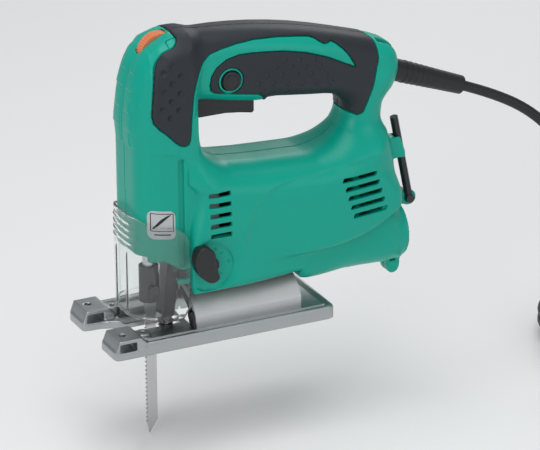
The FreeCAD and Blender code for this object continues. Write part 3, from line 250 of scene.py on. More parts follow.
def make_cord():
    coil_lo, coil_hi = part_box("cord_coil")
    tube = 3.5
    centre_x, centre_y = 343.0, 8.0
    floor = coil_lo.z / MM
    route = [(222.14, 0.0, 130.22), (252.0, -2.0, 118.8), (279.0, -12.0, 101.0), (298.0, -24.0, 73.0),
             (303.0, -30.0, 39.0), (289.0, -31.0, 4.0), (280.0, -30.0, -30.0), (285.5, -29.0, -50.7),
             (300.7, -28.3, -65.9), (321.5, -28.0, -71.4)]
    step = 16
    # three layers of turns, then over the top of them and into the plug
    lanes = [(36.0, 0), (29.2, 0), (29.2, 1), (36.0, 1), (43.0, 1), (43.0, 2), (36.0, 2), (36.0, 3)]
    height = [floor + tube + 0.1 + level * (2 * tube) for level in range(4)]
    for turn, (lane, level) in enumerate(lanes[:-1]):
        following = lanes[turn + 1]
        for k in range(step):
            share = ramp(k / step, 0.7, 1.0)
            r = lane + (following[0] - lane) * share
            z = height[level] + (height[following[1]] - height[level]) * share
            angle = -math.pi / 2 + 2 * math.pi * k / step
            route.append((centre_x + r * math.cos(angle), centre_y + r * math.sin(angle), z))
    plug_lo, plug_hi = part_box("mains_plug")
    plug_x, plug_z = (plug_lo.x + plug_hi.x) / 2 / MM, (plug_lo.z + plug_hi.z) / 2 / MM
    plug_y = plug_lo.y / MM
    turn_r = plug_x - centre_x
    for k in range(1, 6):
        angle = -math.pi / 2 + math.pi / 2 * k / 6
        route.append((centre_x + turn_r * math.cos(angle), plug_y + turn_r * math.sin(angle),
                      height[3] + (plug_z - height[3]) * k / 6))
    route += [(plug_x, plug_y, plug_z), (plug_x, plug_y + 9.0, plug_z)]
    curve = bpy.data.curves.new("mains_cord", "CURVE")
    curve.dimensions = "3D"
    curve.bevel_depth = (tube - 0.02) * MM
    curve.bevel_resolution = 6
    curve.resolution_u = 8
    curve.use_fill_caps = True
    spline = curve.splines.new("NURBS")
    spline.points.add(len(route) - 1)
    for point, place in zip(spline.points, millimetres(*route)):
        point.co = (*place, 1.0)
    spline.use_endpoint_u = True
    spline.order_u = 3
    cord = bpy.data.objects.new("mains_cord", curve)
    scene.collection.objects.link(cord)
    curve.materials.append(materials["cord_rubber"])
    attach(cord, "tool_body")
    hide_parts("power_cord", "cord_coil")


# ---------------------------------------------------------------- making pieces
def new_piece(name, mesh, material, body, replaced=()):
    """Puts a mesh with its material on its body, and hides the nodes that it replaces."""
    mesh.materials.append(materials[material])
    obj = bpy.data.objects.new(name, mesh)
    scene.collection.objects.link(obj)
    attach(obj, body)
    if replaced:
        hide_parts(*replaced)


# ---------------------------------------------------------------- distance fields
class Grid:
    """A box of sample points in millimetres, with the distance operations used on it."""

    def __init__(self, x, y, z, step):
        self.step, self.origin = step, (x[0], y[0], z[0])
        ranges = [np.arange(a, b, step, dtype=np.float32) for a, b in (x, y, z)]
        self.x, self.y, self.z = ranges[0][:, None, None], ranges[1][None, :, None], ranges[2][None, None, :]
        self.across = np.abs(self.y)

    def polygon(self, points, u="x", v="z"):
        """Distance to a closed outline seen along the third axis, negative inside."""
        u, v = getattr(self, u), getattr(self, v)
        best, inside = None, False
        for (ax, az), (bx, bz) in zip(points, points[1:] + points[:1]):
            ex, ez = bx - ax, bz - az
            wx, wz = u - ax, v - az
            t = np.clip((wx * ex + wz * ez) / (ex * ex + ez * ez), 0, 1)
            d = (wx - ex * t) ** 2 + (wz - ez * t) ** 2
            best = d if best is None else np.minimum(best, d)
            slope = (bx - ax) / (bz - az) if bz != az else 0.0
            inside = inside ^ (((az > v) != (bz > v)) & (u < slope * (v - az) + ax))
        return (np.where(inside, -1, 1) * np.sqrt(best)).astype(np.float32)

    def mesh(self, name, field, adapt=0.04, flip_y=False):
        """Skin of the field's zero level, with normals from its slope."""
        step = self.step
        clipped = np.clip(field, -3 * step, 3 * step).astype(np.float32)
        for side in (0, -1):
            clipped[side], clipped[:, side], clipped[:, :, side] = 3 * step, 3 * step, 3 * step
        grid = vdb.FloatGrid(3 * step)
        grid.copyFromArray(clipped)
        points, tris, quads = grid.convertToPolygons(isovalue=0.0, adaptivity=adapt)
        normals = self.slope(field, points)
        places = points * step + np.array(self.origin, np.float32)
        if flip_y:
            places[:, 1] *= -1
            normals[:, 1] *= -1
        faces = [tuple(q) for q in quads.tolist()] + [tuple(t) for t in tris.tolist()]
        mesh = bpy.data.meshes.new(name)
        mesh.from_pydata((places * MM).tolist(), [], faces)
        a, b, c = (places[quads[:, k]] for k in range(3))
        facing = (np.cross(b - a, c - a) * normals[quads[:, 0]]).sum()
        if facing < 0:
            mesh.flip_normals()
        mesh.polygons.foreach_set("use_smooth", [True] * len(mesh.polygons))
        mesh.normals_split_custom_set_from_vertices(normals.tolist())
        mesh.update()
        print(name, len(places), "points", len(tris) + 2 * len(quads), "triangles")
        return mesh

    @staticmethod
    def slope(field, points):
        top = np.array(field.shape) - 2

        def at(p):
            p = np.clip(p, 0, top)
            i = p.astype(int)
            f = p - i
            total = 0.0
            for dx in (0, 1):
                for dy in (0, 1):
                    for dz in (0, 1):
                        shift = np.array((dx, dy, dz))
                        weight = np.abs(1 - shift - f).prod(axis=1)
                        total = total + weight * field[tuple((i + shift).T)]
            return total

        result = np.zeros((len(points), 3), np.float32)
        for k in range(3):
            shift = np.zeros(3)
            shift[k] = 0.6
            result[:, k] = at(points + shift) - at(points - shift)
        return result / np.maximum(np.linalg.norm(result, axis=1, keepdims=True), 1e-6)


def both(a, b, round_=0.0):
    """Intersection, with a rounded edge."""
    return -either(-a, -b, round_)


def either(a, b, round_=0.0):
    """Union, with a fillet."""
    if not round_:
        return np.minimum(a, b)
    h = np.maximum(round_ - np.abs(a - b), 0) / round_
    return np.minimum(a, b) - h * h * round_ * 0.25


def minus(a, b, round_=0.0):
    return both(a, -b, round_)


def common(*fields):
    """Sharp intersection."""
    result = fields[0]
    for field in fields[1:]:
        result = np.maximum(result, field)
    return result


def span(value, low, high):
    """Distance to the slab between two values."""
    return np.abs(value - (low + high) / 2) - (high - low) / 2


def round_hole(g, x, z, r):
    """Cylinder across the tool."""
    return np.hypot(g.x - x, g.z - z) - r


def tube_x(g, z, r):
    """Cylinder along the tool, on the middle plane."""
    return np.hypot(g.y, g.z - z) - r


def pillow(side, across, half, rounding):
    """A flat outline given thickness, its edges rounded."""
    a, b = side + rounding, across - half + rounding
    return np.hypot(np.maximum(a, 0), np.maximum(b, 0)) + np.minimum(np.maximum(a, b), 0) - rounding


def rounded_plan(g, front, half, r):
    """Seen from above: a straight-sided shape with a round front, endless to the rear."""
    forward, aside = front + r - g.x, g.across - half + r
    corner = np.hypot(np.maximum(forward, 0), np.maximum(aside, 0))
    return corner + np.minimum(np.maximum(forward, aside), 0) - r + 0.0 * g.z


def smooth_outline(points, rounds=2):
    """Rounds a closed outline by cutting its corners."""
    for _ in range(rounds):
        cut = []
        for (ax, az), (bx, bz) in zip(points, points[1:] + points[:1]):
            cut.append((0.75 * ax + 0.25 * bx, 0.75 * az + 0.25 * bz))
            cut.append((0.25 * ax + 0.75 * bx, 0.25 * az + 0.75 * bz))
        points = cut
    return points


# ---------------------------------------------------------------- outlines from the side, as (x, z) in mm
COLUMN = [(-15.3, 56.0), (-15.5, 100.0), (-15.5, 140.0), (26.0, 150.0), (27.0, 60.0), (24.0, 50.0),
          (14.0, 47.0), (8.0, 51.0), (0.0, 55.5)]
HEAD_FACE = [(-16.0, 132.0), (-17.0, 140.0), (-16.8, 149.0), (-15.4, 162.0), (-13.2, 173.0),
             (-10.4, 182.0), (-7.0, 188.0), (-1.6, 193.8), (5.0, 197.8), (12.5, 199.8), (20.0, 200.0),
             (27.0, 199.4), (29.6, 194.0), (28.6, 172.0), (28.3, 150.0), (28.6, 137.0), (29.8, 127.0),
             (33.0, 118.0), (38.0, 108.0)]
HEAD_LIP = [(19.0, 104.0), (19.0, 113.6), (17.6, 119.5), (13.4, 123.6), (8.3, 126.0), (-3.0, 128.4),
            (-15.4, 131.6)]
HANDLE = [(8.0, 198.8), (26.0, 199.6), (55.0, 197.8), (83.0, 194.4), (111.0, 188.7), (140.0, 180.6),
          (160.0, 174.4), (168.0, 170.6), (172.0, 166.0), (173.6, 158.0), (173.2, 151.0), (170.8, 145.0),
          (167.0, 141.0), (160.0, 138.0), (131.0, 140.5), (126.0, 143.4), (104.0, 146.0), (80.0, 149.2),
          (77.0, 146.2), (55.0, 149.8), (36.0, 153.4), (10.0, 156.0)]
POST = [(128.0, 158.0), (134.0, 142.0), (135.4, 134.0), (134.6, 127.0), (131.5, 119.5), (125.0, 111.5),
        (114.0, 103.0), (118.0, 92.0), (165.0, 92.0), (166.0, 97.0), (162.8, 111.0), (161.8, 121.0),
        (163.2, 132.0), (167.0, 141.5), (168.0, 158.0)]
BODY = [(18.6, 112.0), (26.0, 115.0), (36.0, 114.5), (48.0, 111.8), (68.0, 109.8), (111.0, 107.6),
        (122.0, 108.0), (140.0, 112.0), (156.0, 114.0), (162.8, 111.0), (166.0, 97.0), (169.2, 86.0),
        (171.8, 73.0), (170.2, 62.0), (163.0, 57.0), (152.0, 51.5), (137.0, 48.0), (117.0, 45.0),
        (97.0, 44.0), (77.0, 43.5), (55.0, 42.0), (40.0, 36.0), (18.6, 36.0)]
SKIRT = [(18.6, 60.0), (60.0, 62.0), (165.0, 66.0), (172.5, 60.0), (176.0, 52.0), (176.6, 36.0),
         (176.0, 21.0), (163.0, 19.4), (140.0, 21.0), (117.0, 22.8), (101.0, 24.4), (97.0, 25.5),
         (95.0, 29.4), (90.0, 30.0), (18.6, 30.0)]
BLACK = [(-0.6, 216.0), (-0.4, 200.0), (-1.7, 192.0), (-3.3, 179.0), (-5.0, 164.0), (-5.9, 154.5),
         (-4.9, 149.6), (-1.6, 145.6), (3.6, 141.0), (9.7, 134.6), (13.0, 132.2), (16.0, 131.4),
         (18.5, 132.2), (19.5, 135.2), (20.7, 149.0), (22.3, 163.0), (24.6, 170.4), (27.8, 177.0),
         (31.2, 182.2), (36.5, 186.8), (44.4, 188.8), (55.0, 190.4), (68.0, 191.0), (83.4, 190.0),
         (98.0, 188.0), (107.0, 186.4), (110.8, 184.8), (113.6, 182.6), (117.0, 180.5), (120.0, 180.6),
         (122.4, 181.2), (125.0, 179.6), (129.8, 175.4), (134.0, 170.4), (137.4, 164.6), (138.6, 162.0),
         (137.2, 162.4), (128.8, 166.8), (118.4, 172.0), (103.0, 177.6), (87.5, 181.1), (72.0, 182.9),
         (57.0, 183.5), (48.3, 181.5), (41.4, 177.2), (37.6, 171.6), (36.7, 166.0), (37.8, 161.8),
         (41.7, 159.4), (55.0, 157.2), (70.5, 154.6), (74.5, 152.0), (76.5, 146.0), (78.0, 134.0),
         (100.0, 128.0), (125.0, 128.0), (127.6, 136.4), (130.3, 133.4), (135.5, 130.0), (141.4, 127.8),
         (144.6, 129.4), (147.6, 136.7), (151.8, 152.0), (155.0, 164.0), (155.4, 173.4), (152.4, 182.0),
         (150.0, 190.0), (150.0, 216.0)]
PANEL = [(55.4, 40.0), (55.6, 59.0), (57.5, 73.0), (61.5, 85.0), (69.5, 92.6), (84.0, 97.0), (104.0, 98.6),
         (180.0, 104.0), (180.0, 40.0)]
FOOT = [(11.5, 52.0), (23.0, 52.0), (23.0, 22.5), (12.5, 23.5)]
LUG = [(168.0, 24.0), (177.6, 24.0), (177.6, 9.0), (168.5, 7.6)]
KEY_CLIP = [(158.0, 91.5), (178.0, 91.5), (177.6, 96.0), (174.0, 106.0), (158.0, 106.0)]
COVER_EDGE = [(-26.0, 88.0), (-17.0, 85.8), (-8.0, 81.5), (0.0, 79.2), (8.0, 77.8), (12.0, 75.2),
              (15.6, 71.4), (17.2, 66.0), (17.2, 22.0), (12.0, 15.4), (0.0, 14.6), (-12.0, 16.0),
              (-26.0, 18.0)]
FENCE_BOX = [(-40.4, -4.0), (-40.4, 2.6), (-39.6, 6.0), (-36.9, 12.9), (-21.5, 12.9), (-17.4, 8.6),
             (-14.0, -4.0)]
KNOB = [(23.6, 67.0), (17.0, 64.0), (16.0, 53.3), (19.6, 46.0), (27.0, 39.9), (33.6, 42.6), (32.0, 48.0),
        (30.2, 53.3), (30.4, 62.0)]
PADDLE = [(29.8, 157.7), (29.8, 141.8), (34.0, 141.4), (52.0, 141.4), (62.0, 140.2), (70.6, 138.6),
          (72.0, 139.8), (72.0, 150.0), (71.0, 157.7)]
LABEL = [(-9.8, 92.0), (-0.7, 90.5), (8.4, 89.0), (8.4, 79.5), (8.4, 70.0), (-0.7, 71.5), (-9.8, 73.0),
         (-9.8, 82.5)]
LABEL_FRAME = [(-8.0, 90.0), (6.8, 87.4), (6.8, 76.0), (-8.0, 78.4)]
LABEL_BLADE = [(-7.4, 79.6), (-6.0, 79.4), (4.6, 86.4), (5.6, 87.2), (3.4, 87.2), (-2.0, 85.0),
               (-4.6, 82.6)]

# ---------------------------------------------------------------- places, as (x, z)
SCREWS = [(-3.0, 180.0), (42.0, 186.0), (116.0, 170.0), (156.0, 128.0), (152.0, 96.0), (84.0, 102.5),
          (152.0, 58.0)]
RECESSED_SCREWS = SCREWS[1:5] + SCREWS[6:]
LEVER_MARKS = [(33.7, 59.9), (38.1, 57.0), (43.3, 49.9), (37.5, 42.6)]
PITS = [(8.1, 186.0), (2.6, 181.8), (13.3, 179.1), (7.7, 174.6, 1.25), (2.1, 170.0), (12.8, 167.7),
        (6.8, 163.1), (0.8, 158.7), (11.8, 156.6), (5.9, 152.1)]
PIMPLE_ROWS = [(87.7, 175.2, 3), (81.9, 171.1, 4), (75.7, 166.7, 5), (69.6, 162.1, 6), (72.5, 156.9, 3)]
PIMPLE_PITCH = (10.25, -1.42)
BUTTON, LEVER, DIAL = (51.0, 167.0), (29.5, 50.5), (9.0, 187.5)
KEY_EYE, GUARD_END = (183.0, 60.5), (168.0, 151.0)
MOTOR_Z, PORT_Z = 76.0, 38.0

# ---------------------------------------------------------------- sizes
WALL, SKIN, SKIN_GAP = 3.0, 1.3, 0.15
COLUMN_FRONT, COLUMN_HALF, COLUMN_ROUND = -15.5, 24.3, 15.0
HEAD_HALF, HEAD_ROUND = 25.2, 10.0
HANDLE_HALF, HANDLE_ROUND = 18.0, 13.0
POST_HALF, POST_ROUND = 17.5, 14.0
BODY_HALF, SKIRT_HALF = 32.4, 31.3
CAP_END, CAP_HALF, CAP_ROUND = 15.8, 18.5, 6.5      # green cap let into the front of the grip
TILE_EDGES = [190.0, 178.0, 168.0, 154.0, 142.0, 130.0]
PORT_R, PORT_RING_R, ARCH_R, GUARD_R = 14.5, 17.9, 41.2, 7.6
GUARD_LEAN = math.radians(21.0)
KEY_Y, EYE_Y, KEY_BORE = 7.5, 5.7, 2.95
BUTTON_R, BUTTON_RING_R, DIAL_R, LEVER_SHAFT_R = 6.3, 8.3, 13.1, 4.0
RECESS_FLOOR, RECESS_R = 28.4, 15.6                 # round recess behind the lever
COVER_FRONT, COVER_HALF, COVER_ROUND, COVER_WALL = -18.7, 26.7, 20.0, 1.8
SOLE_FRONT, SOLE_REAR, SOLE_HALF = -40.5, 114.5, 38.5
RIM_WIDTH, RIM_TOP, RUNNER_TOP, FLOOR_TOP = 4.6, 9.2, 7.8, 4.0


# ---------------------------------------------------------------- housing and soft grip
def slots(g):
    """Vent openings through one side: a short upright row, and a longer row that leans back."""
    found = None
    corner = 0.7
    for i in range(5):
        upright, leaning = (29.6, 14.6, 97.0 - 6.8 * i, 0.0), (123.5 + 2.0 * i, 26.0, 90.5 - 6.4 * i, 0.3)
        for x0, length, z, lean in (upright, leaning):
            tall = np.abs(g.z - z) - 1.5 + corner
            long = np.abs(g.x - x0 - length / 2 - lean * (g.z - z)) - length / 2 + corner
            slot = np.minimum(np.maximum(tall, long), 0) - corner
            slot = slot + np.hypot(np.maximum(tall, 0), np.maximum(long, 0))
            found = slot if found is None else np.minimum(found, slot)
    return found


def dots(g, places, size):
    """Small round bumps over the side outline, 1 at each middle."""
    total = 0.0
    for x, z, *scale in places:
        r = size * (scale[0] if scale else 1.0)
        total = np.maximum(total, np.exp(-(((g.x - x) ** 2 + (g.z - z) ** 2) / (r * r)) ** 1.5))
    return total


def tiles(g):
    """Height of the overlapping tiles down the front of the head."""
    height = 0.0
    for row, (top, bottom) in enumerate(zip(TILE_EDGES, TILE_EDGES[1:])):
        width = 13.5 if row % 2 else 10.5
        inside = ((g.z <= top) & (g.z > bottom)).astype(np.float32)
        rise = 0.25 + 0.45 * (top - g.z) / (top - bottom)
        height = height + inside * rise * (1 - ramp(g.across, width - 0.5, width + 0.5))
    return height * ramp(-g.x, -1.0, 6.0) * ramp(g.across, 2.2, 3.0)


def upper_surface(g):
    """Head, handle and rear post, which ring the hand opening."""
    front, crest = ramp(-g.x, -14.0, 1.0), ramp(g.z, 178.0, 199.0)
    down = [(38.0, 80.0), (-15.6, 80.0)]
    face = pillow(g.polygon(smooth_outline(HEAD_FACE + down, 1)), g.across, HEAD_HALF,
                  HEAD_ROUND + 8.0 * np.maximum(front, crest))
    head = both(face, g.polygon(smooth_outline(HEAD_FACE + HEAD_LIP, 1)), 1.5) - tiles(g)
    palm = 1.2 * np.exp(-((g.x - 100.0) / 40.0) ** 2)
    handle = pillow(g.polygon(smooth_outline(HANDLE, 1)), g.across, HANDLE_HALF + palm,
                    HANDLE_ROUND + 3.0 * ramp(-g.x, -60.0, -20.0))
    post = pillow(g.polygon(POST), g.across, POST_HALF + 3.0 * ramp(-g.z, -125.0, -95.0), POST_ROUND)
    return either(either(head, handle, 7.0), post, 9.0)


def lower_surface(g):
    """Motor housing with crowned sides and a sunk panel, its skirt, the dust port's ring and the lug."""
    panel = ramp(-g.polygon(smooth_outline(PANEL, 1)), -1.2, 1.2)
    crown = BODY_HALF - 0.9 * panel - 2.6 * ((g.z - 72.0) / 40.0) ** 2 - 7.0 * ramp(g.x, 120.0, 176.0)
    body = pillow(g.polygon(BODY), g.across, crown, 4.5 + 14.5 * ramp(g.z, 62.0, 96.0))
    flare = SKIRT_HALF - 3.0 * ramp(g.x, 52.0, 92.0) - 8.3 * ramp(g.x, 78.0, 150.0)
    skirt = pillow(g.polygon(SKIRT), g.across, flare, 7.0 + 8.0 * ramp(g.x, 100.0, 150.0))
    ring = common(tube_x(g, PORT_Z, PORT_RING_R), span(g.x, 137.7, 178.3))
    lug = pillow(g.polygon(smooth_outline(LUG, 2)), g.across, 6.0, 1.0)
    notch = common(span(g.x, 169.6, 174.4), 17.0 - g.z, 3.2 - g.across)
    lower = either(either(body, skirt, 1.6), ring, 5.0)
    return either(lower, minus(lug, notch, 0.5), 3.0)


def housing_surface(g, left):
    """Outer surface of the moulding for one side, y running outwards from the parting plane."""
    column = both(rounded_plan(g, COLUMN_FRONT, COLUMN_HALF, COLUMN_ROUND), g.polygon(COLUMN), 2.0)
    foot = pillow(g.polygon(FOOT), g.across, 20.0, 2.0)
    whole = either(upper_surface(g), lower_surface(g), 13.0)
    whole = either(either(whole, column, 0.5), foot, 1.5)
    if left:
        # the clip and the eye that hold the hex key
        x, z = KEY_EYE
        clip = pillow(g.polygon(KEY_CLIP), np.abs(g.y - KEY_Y), 5.0, 1.0)
        eye = common(round_hole(g, x, z, 5.2), np.abs(g.y - EYE_Y) - 1.8)
        arm = pillow(g.polygon([(164.0, z - 4.0), (x, z - 4.0), (x, z + 4.0), (164.0, z + 4.0)]),
                     np.abs(g.y - EYE_Y), 1.8, 0.5)
        whole = either(either(whole, clip, 1.0), either(eye, arm, 1.0), 1.5)
    groove = common(span(g.x, 11.2, 14.8), 22.2 - g.across, span(g.z, 50.0, 122.5))
    return minus(whole, groove, 0.5)


def cap_region(g):
    """Green cap round the dial, let into the front of the soft grip."""
    straight, narrow = CAP_END - CAP_ROUND, CAP_HALF - CAP_ROUND
    cap = np.minimum(common(g.x - straight, g.across - CAP_HALF), common(g.x - CAP_END, g.across - narrow))
    corner = np.hypot(g.x - straight, g.across - narrow) - CAP_ROUND
    return np.where((g.x > straight) & (g.across > narrow), corner, cap)


def shared_openings(g):
    """Openings that both halves have."""
    x, z = GUARD_END
    along = (g.x - x) * math.cos(GUARD_LEAN) - (g.z - z) * math.sin(GUARD_LEAN)
    aside = (g.x - x) * math.sin(GUARD_LEAN) + (g.z - z) * math.cos(GUARD_LEAN)
    tilt_arch = common(tube_x(g, 0.0, ARCH_R), g.x - 96.2)
    blade_well = common(span(g.x, -18.2, 18.2), g.across - 20.5, span(g.z, 40.0, 60.0))
    saddle_well = common(span(g.x, 10.4, 55.6), g.across - 15.3, span(g.z, 19.5, 50.5))
    port = common(tube_x(g, PORT_Z, PORT_R), 116.0 - g.x)
    trigger_slot = common(span(g.x, 29.2, 72.3), g.across - 8.3, span(g.z, 134.5, 161.5))
    dial_slot = common(round_hole(g, *DIAL, DIAL_R + 0.8), g.across - 3.9)
    vents = common(slots(g), 24.0 - g.across)
    guard_bore = common(np.hypot(aside, g.y) - GUARD_R, -3.0 - along)
    return [tilt_arch, blade_well, saddle_well, port, trigger_slot, dial_slot, vents, guard_bore]


def left_openings(g):
    """Hex key clip and eye, lock button, and the lever's shaft and recess."""
    x, z = KEY_EYE
    key_line = x - 11.5 * (g.z - z) / 58.5
    clip_mouth = common(key_line - 3.0 - g.x, np.abs(g.across - KEY_Y) - 3.0, 80.0 - g.z)
    shaft = common(round_hole(g, *LEVER, LEVER_SHAFT_R + 0.4), 15.0 - g.across)
    depth = np.clip((g.across - 29.2) / 3.0, 0, 1.4)
    cone = np.hypot(g.x - 30.0 - 4.5 * depth, g.z - 48.0 - 1.5 * depth) - RECESS_R - 4.6 * depth
    recess = common(cone * 0.75, RECESS_FLOOR - 0.9 * dots(g, LEVER_MARKS, 1.1) - g.across)
    key_bore = round_hole(g, x, z, KEY_BORE) + 0 * g.y
    button_bore = round_hole(g, *BUTTON, BUTTON_R + 0.5) + 0 * g.y
    return [clip_mouth, key_bore, button_bore, shaft, recess]


def right_openings(g):
    """Bore for the hex key's short arm, and the screw heads' recesses."""
    bore = common(round_hole(g, *KEY_EYE, KEY_BORE), 1.0 + 0 * g.y)
    return [bore] + [common(round_hole(g, x, z, 4.0), 8.0 - g.across) for x, z in RECESSED_SCREWS]


def make_housing(side):
    """One half of the moulding and its soft grip; side is -1 for the left half and 1 for the right."""
    left, name = side < 0, "left" if side < 0 else "right"
    g = Grid((-21.0, 191.0), (-1.8, 35.4), (4.0, 206.4), 0.6)
    outer = housing_surface(g, left)
    black = g.polygon(BLACK)
    mask = both(black, -cap_region(g), 3.0)
    lip = np.exp(-((black - 1.5) / 0.7) ** 2) * ramp(-g.x, -34.0, -30.0) * ramp(g.z, 120.0, 126.0)
    outer = outer - 0.35 * lip
    shell = np.maximum(outer, -outer - WALL)
    # ribs that carry the field core and the rear bearing, and the screw bosses
    for x0, x1, bore in ((69.0, 73.0, 26.1), (99.0, 103.0, 26.1), (133.0, 138.0, 13.5)):
        rib = common(span(g.x, x0, x1), -tube_x(g, MOTOR_Z, bore), g.z - 107.0)
        shell = np.minimum(shell, np.maximum(rib, outer + 0.8))
    for x, z in SCREWS:
        shell = np.minimum(shell, np.maximum(round_hole(g, x, z, 5.6), outer + 0.8))
    bed = np.maximum(mask - 0.35, -(outer + SKIN + SKIN_GAP))
    if left:
        # a floor under the lever's recess, and a green ring round the button
        pad = common(round_hole(g, 33.5, 49.5, 21.8), span(g.y, RECESS_FLOOR - 3.7, RECESS_FLOOR + 0.1))
        shell = np.minimum(shell, np.maximum(pad, outer + 0.3))
        bed = np.maximum(bed, -round_hole(g, *BUTTON, BUTTON_RING_R))
    shell = np.maximum(shell, -bed)
    shared = shared_openings(g)
    for opening in shared + (left_openings(g) if left else right_openings(g)):
        shell = minus(shell, opening, 0.35)
    seam = common(g.across - 0.3, -(outer + 0.55))
    shell = common(shell, -seam, 0.02 - g.y)
    mesh = g.mesh("case_" + name, shell, flip_y=left)
    new_piece("case_" + name, mesh, "green_plastic", "tool_body", ["housing_" + name])
    make_grip(g, outer, mask, shared, left, name)


def make_grip(g, outer, mask, openings, left, name):
    """Grip skin, slightly proud, with pimples on the palm and dimples on the cheek."""
    along, down = PIMPLE_PITCH
    pimples = [(x + along * k, z + down * k) for x, z, count in PIMPLE_ROWS for k in range(count)]
    relief = 1.2 * dots(g, pimples, 1.4) - 1.2 * dots(g, PITS, 1.7)
    skin = both(outer - 0.35 - relief * ramp(g.across, 11.0, 14.0), mask + 0.1, 1.4)
    skin = np.maximum(skin, -(outer + SKIN))
    for opening in openings:
        skin = minus(skin, opening - 0.1, 0.5)
    if left:
        skin = minus(skin, round_hole(g, *BUTTON, BUTTON_RING_R + 0.3) + 0 * g.y, 0.8)
    skin = np.maximum(skin, 0.02 - g.y)
    mesh = g.mesh("soft_grip_" + name, skin, flip_y=left)
    new_piece("soft_grip_" + name, mesh, "black_rubber", "tool_body", ["grip_" + name])


# ---------------------------------------------------------------- smaller pieces
def make_cover():
    """Clear dust cover: a curved shell round the front of the column."""
    g = Grid((-22.0, 20.5), (-29.0, 29.0), (12.0, 89.0), 0.5)
    ridges = sum(np.exp(-((g.z - z) / 0.8) ** 2) for z in (66.0, 70.5, 75.0, 79.5))
    ridges = ridges * ramp(-g.across, -19.0, -14.0)
    ribs = np.exp(-((g.across - 8.0) / 0.7) ** 2) * ramp(-g.z, -62.0, -58.0)
    rear_flange, bottom_bead = ramp(g.x, 8.6, 9.4), ramp(-g.z, -19.0, -17.6)
    plan = rounded_plan(g, COVER_FRONT, COVER_HALF, COVER_ROUND)
    outer = plan - 0.6 * ridges - 0.4 * ribs - 0.5 * rear_flange - 0.6 * bottom_bead
    shell = both(both(outer, -(plan + COVER_WALL), 0.3), g.polygon(COVER_EDGE), 0.5)
    new_piece("clear_cover", g.mesh("clear_cover", shell, 0.02), "clear_plastic", "cover", ["dust_cover"])


def make_sole():
    """The stamping in one: flat runners with a rolled rim, a fence box on each prong."""
    g = Grid((-43.0, 117.0), (-41.0, 41.0), (-3.0, 16.0), 0.6)
    beyond = -60.0
    # half of the outline seen from above, as (x, distance from the middle)
    outside = [(SOLE_FRONT, 34.5), (-39.4, 37.4), (-36.5, SOLE_HALF), (109.5, SOLE_HALF), (113.0, 37.0),
               (SOLE_REAR, 33.5)]
    blade_slot = [(19.0, -30.0), (19.0, 6.5), (-12.0, 6.5), (-17.0, 7.6), (-22.0, 10.6), (-28.0, 12.8),
                  (-35.0, 13.2), (-38.6, 14.4), (SOLE_FRONT, 17.6)]
    plan = g.polygon(outside + [(SOLE_REAR, -30.0)] + blade_slot, v="across")
    well = common(span(g.x, 23.5, 90.0), g.across - 20.0)
    slit = common(span(g.x, -41.0, 19.0), g.across - 6.5)
    plan = common(plan, -well, -slit)
    floor = common(plan, span(g.z, 0.0, FLOOR_TOP))
    # runner and heel: flat top, a step, then the rolled rim
    corners = [(beyond, SOLE_HALF), (SOLE_REAR, SOLE_HALF), (SOLE_REAR, beyond), (beyond, beyond)]
    edge = g.polygon(corners, v="across")
    rim = both(both(edge, -edge - RIM_WIDTH, 1.2), span(g.z, -0.4, RIM_TOP), 2.4)
    flat = common(edge + 1.5, span(g.z, 0.0, RUNNER_TOP))
    top = np.minimum(common(flat, 19.8 - g.across, -17.0 - g.x), common(flat, 90.0 - g.x))
    trough = common(span(g.across, 29.9, 33.7), 6.6 - g.z, span(g.x, -15.0, 111.0))
    runner = either(minus(top, trough, 0.6), common(rim, -19.0 - g.x), 0.8)
    prong = common(plan, g.x + 15.0, span(g.z, 0.0, 5.6))
    box = pillow(g.polygon(FENCE_BOX), np.abs(g.across - 26.2), 11.6, 1.4)
    boss = both(np.hypot(g.x + 15.6, g.across - 24.0) - 5.2, span(g.z, -0.8, 10.8), 1.0)
    whole = either(either(both(prong, -g.z, 0.4), box, 1.5), boss, 1.0)
    whole = np.minimum(np.minimum(whole, floor), runner)
    trimmed = g.polygon([(SOLE_FRONT, beyond)] + outside + [(SOLE_REAR, beyond)], v="across")
    whole = both(both(whole, trimmed, 1.0), -g.z, 0.8)
    window = pillow(common(span(g.x, -36.7, -25.3), span(g.z, 5.3, 10.7)), np.abs(g.across - 26.0), 20.0, 0.3)
    whole = minus(whole, window, 0.4)
    for x, aside, r in ((-31.0, 27.5, 2.1), (-15.6, 24.0, 1.5)):
        hole = common(np.hypot(g.x - x, g.across - aside) - r, 7.0 - g.z)
        whole = minus(whole, hole, 0.4)
    mesh = g.mesh("sole_plate", np.maximum(whole, -slit), 0.03)
    new_piece("sole_plate", mesh, "pressed_steel", "sole",
              ["fence_frame_left", "fence_frame_right", "sole_rail_left", "sole_rail_right", "sole_toe_left",
               "sole_toe_right", "sole_bridge", "sole_heel"])


def make_cradle_shade():
    """Black solids across the open front end of the cradle, between the cover and the cradle: painted shade,
    put where the cradle's hollow front lies in shadow.
    """
    g = Grid((16.6, 21.0), (20.0, 33.0), (6.0, 21.0), 0.4)
    outer_r, inner_r = 31.5, 24.5
    ends = common(span(g.x, 17.6, 19.8), g.z - 18.2)
    shade_fill = both(common(tube_x(g, 0.0, outer_r), -tube_x(g, 0.0, inner_r)), ends, 0.4)
    shade_fill = np.maximum(shade_fill, 8.2 - g.z)
    for name in ("left", "right"):
        piece = "cradle_shade_" + name
        new_piece(piece, g.mesh(piece, shade_fill, flip_y=name == "left"), "black_plastic", "sole")


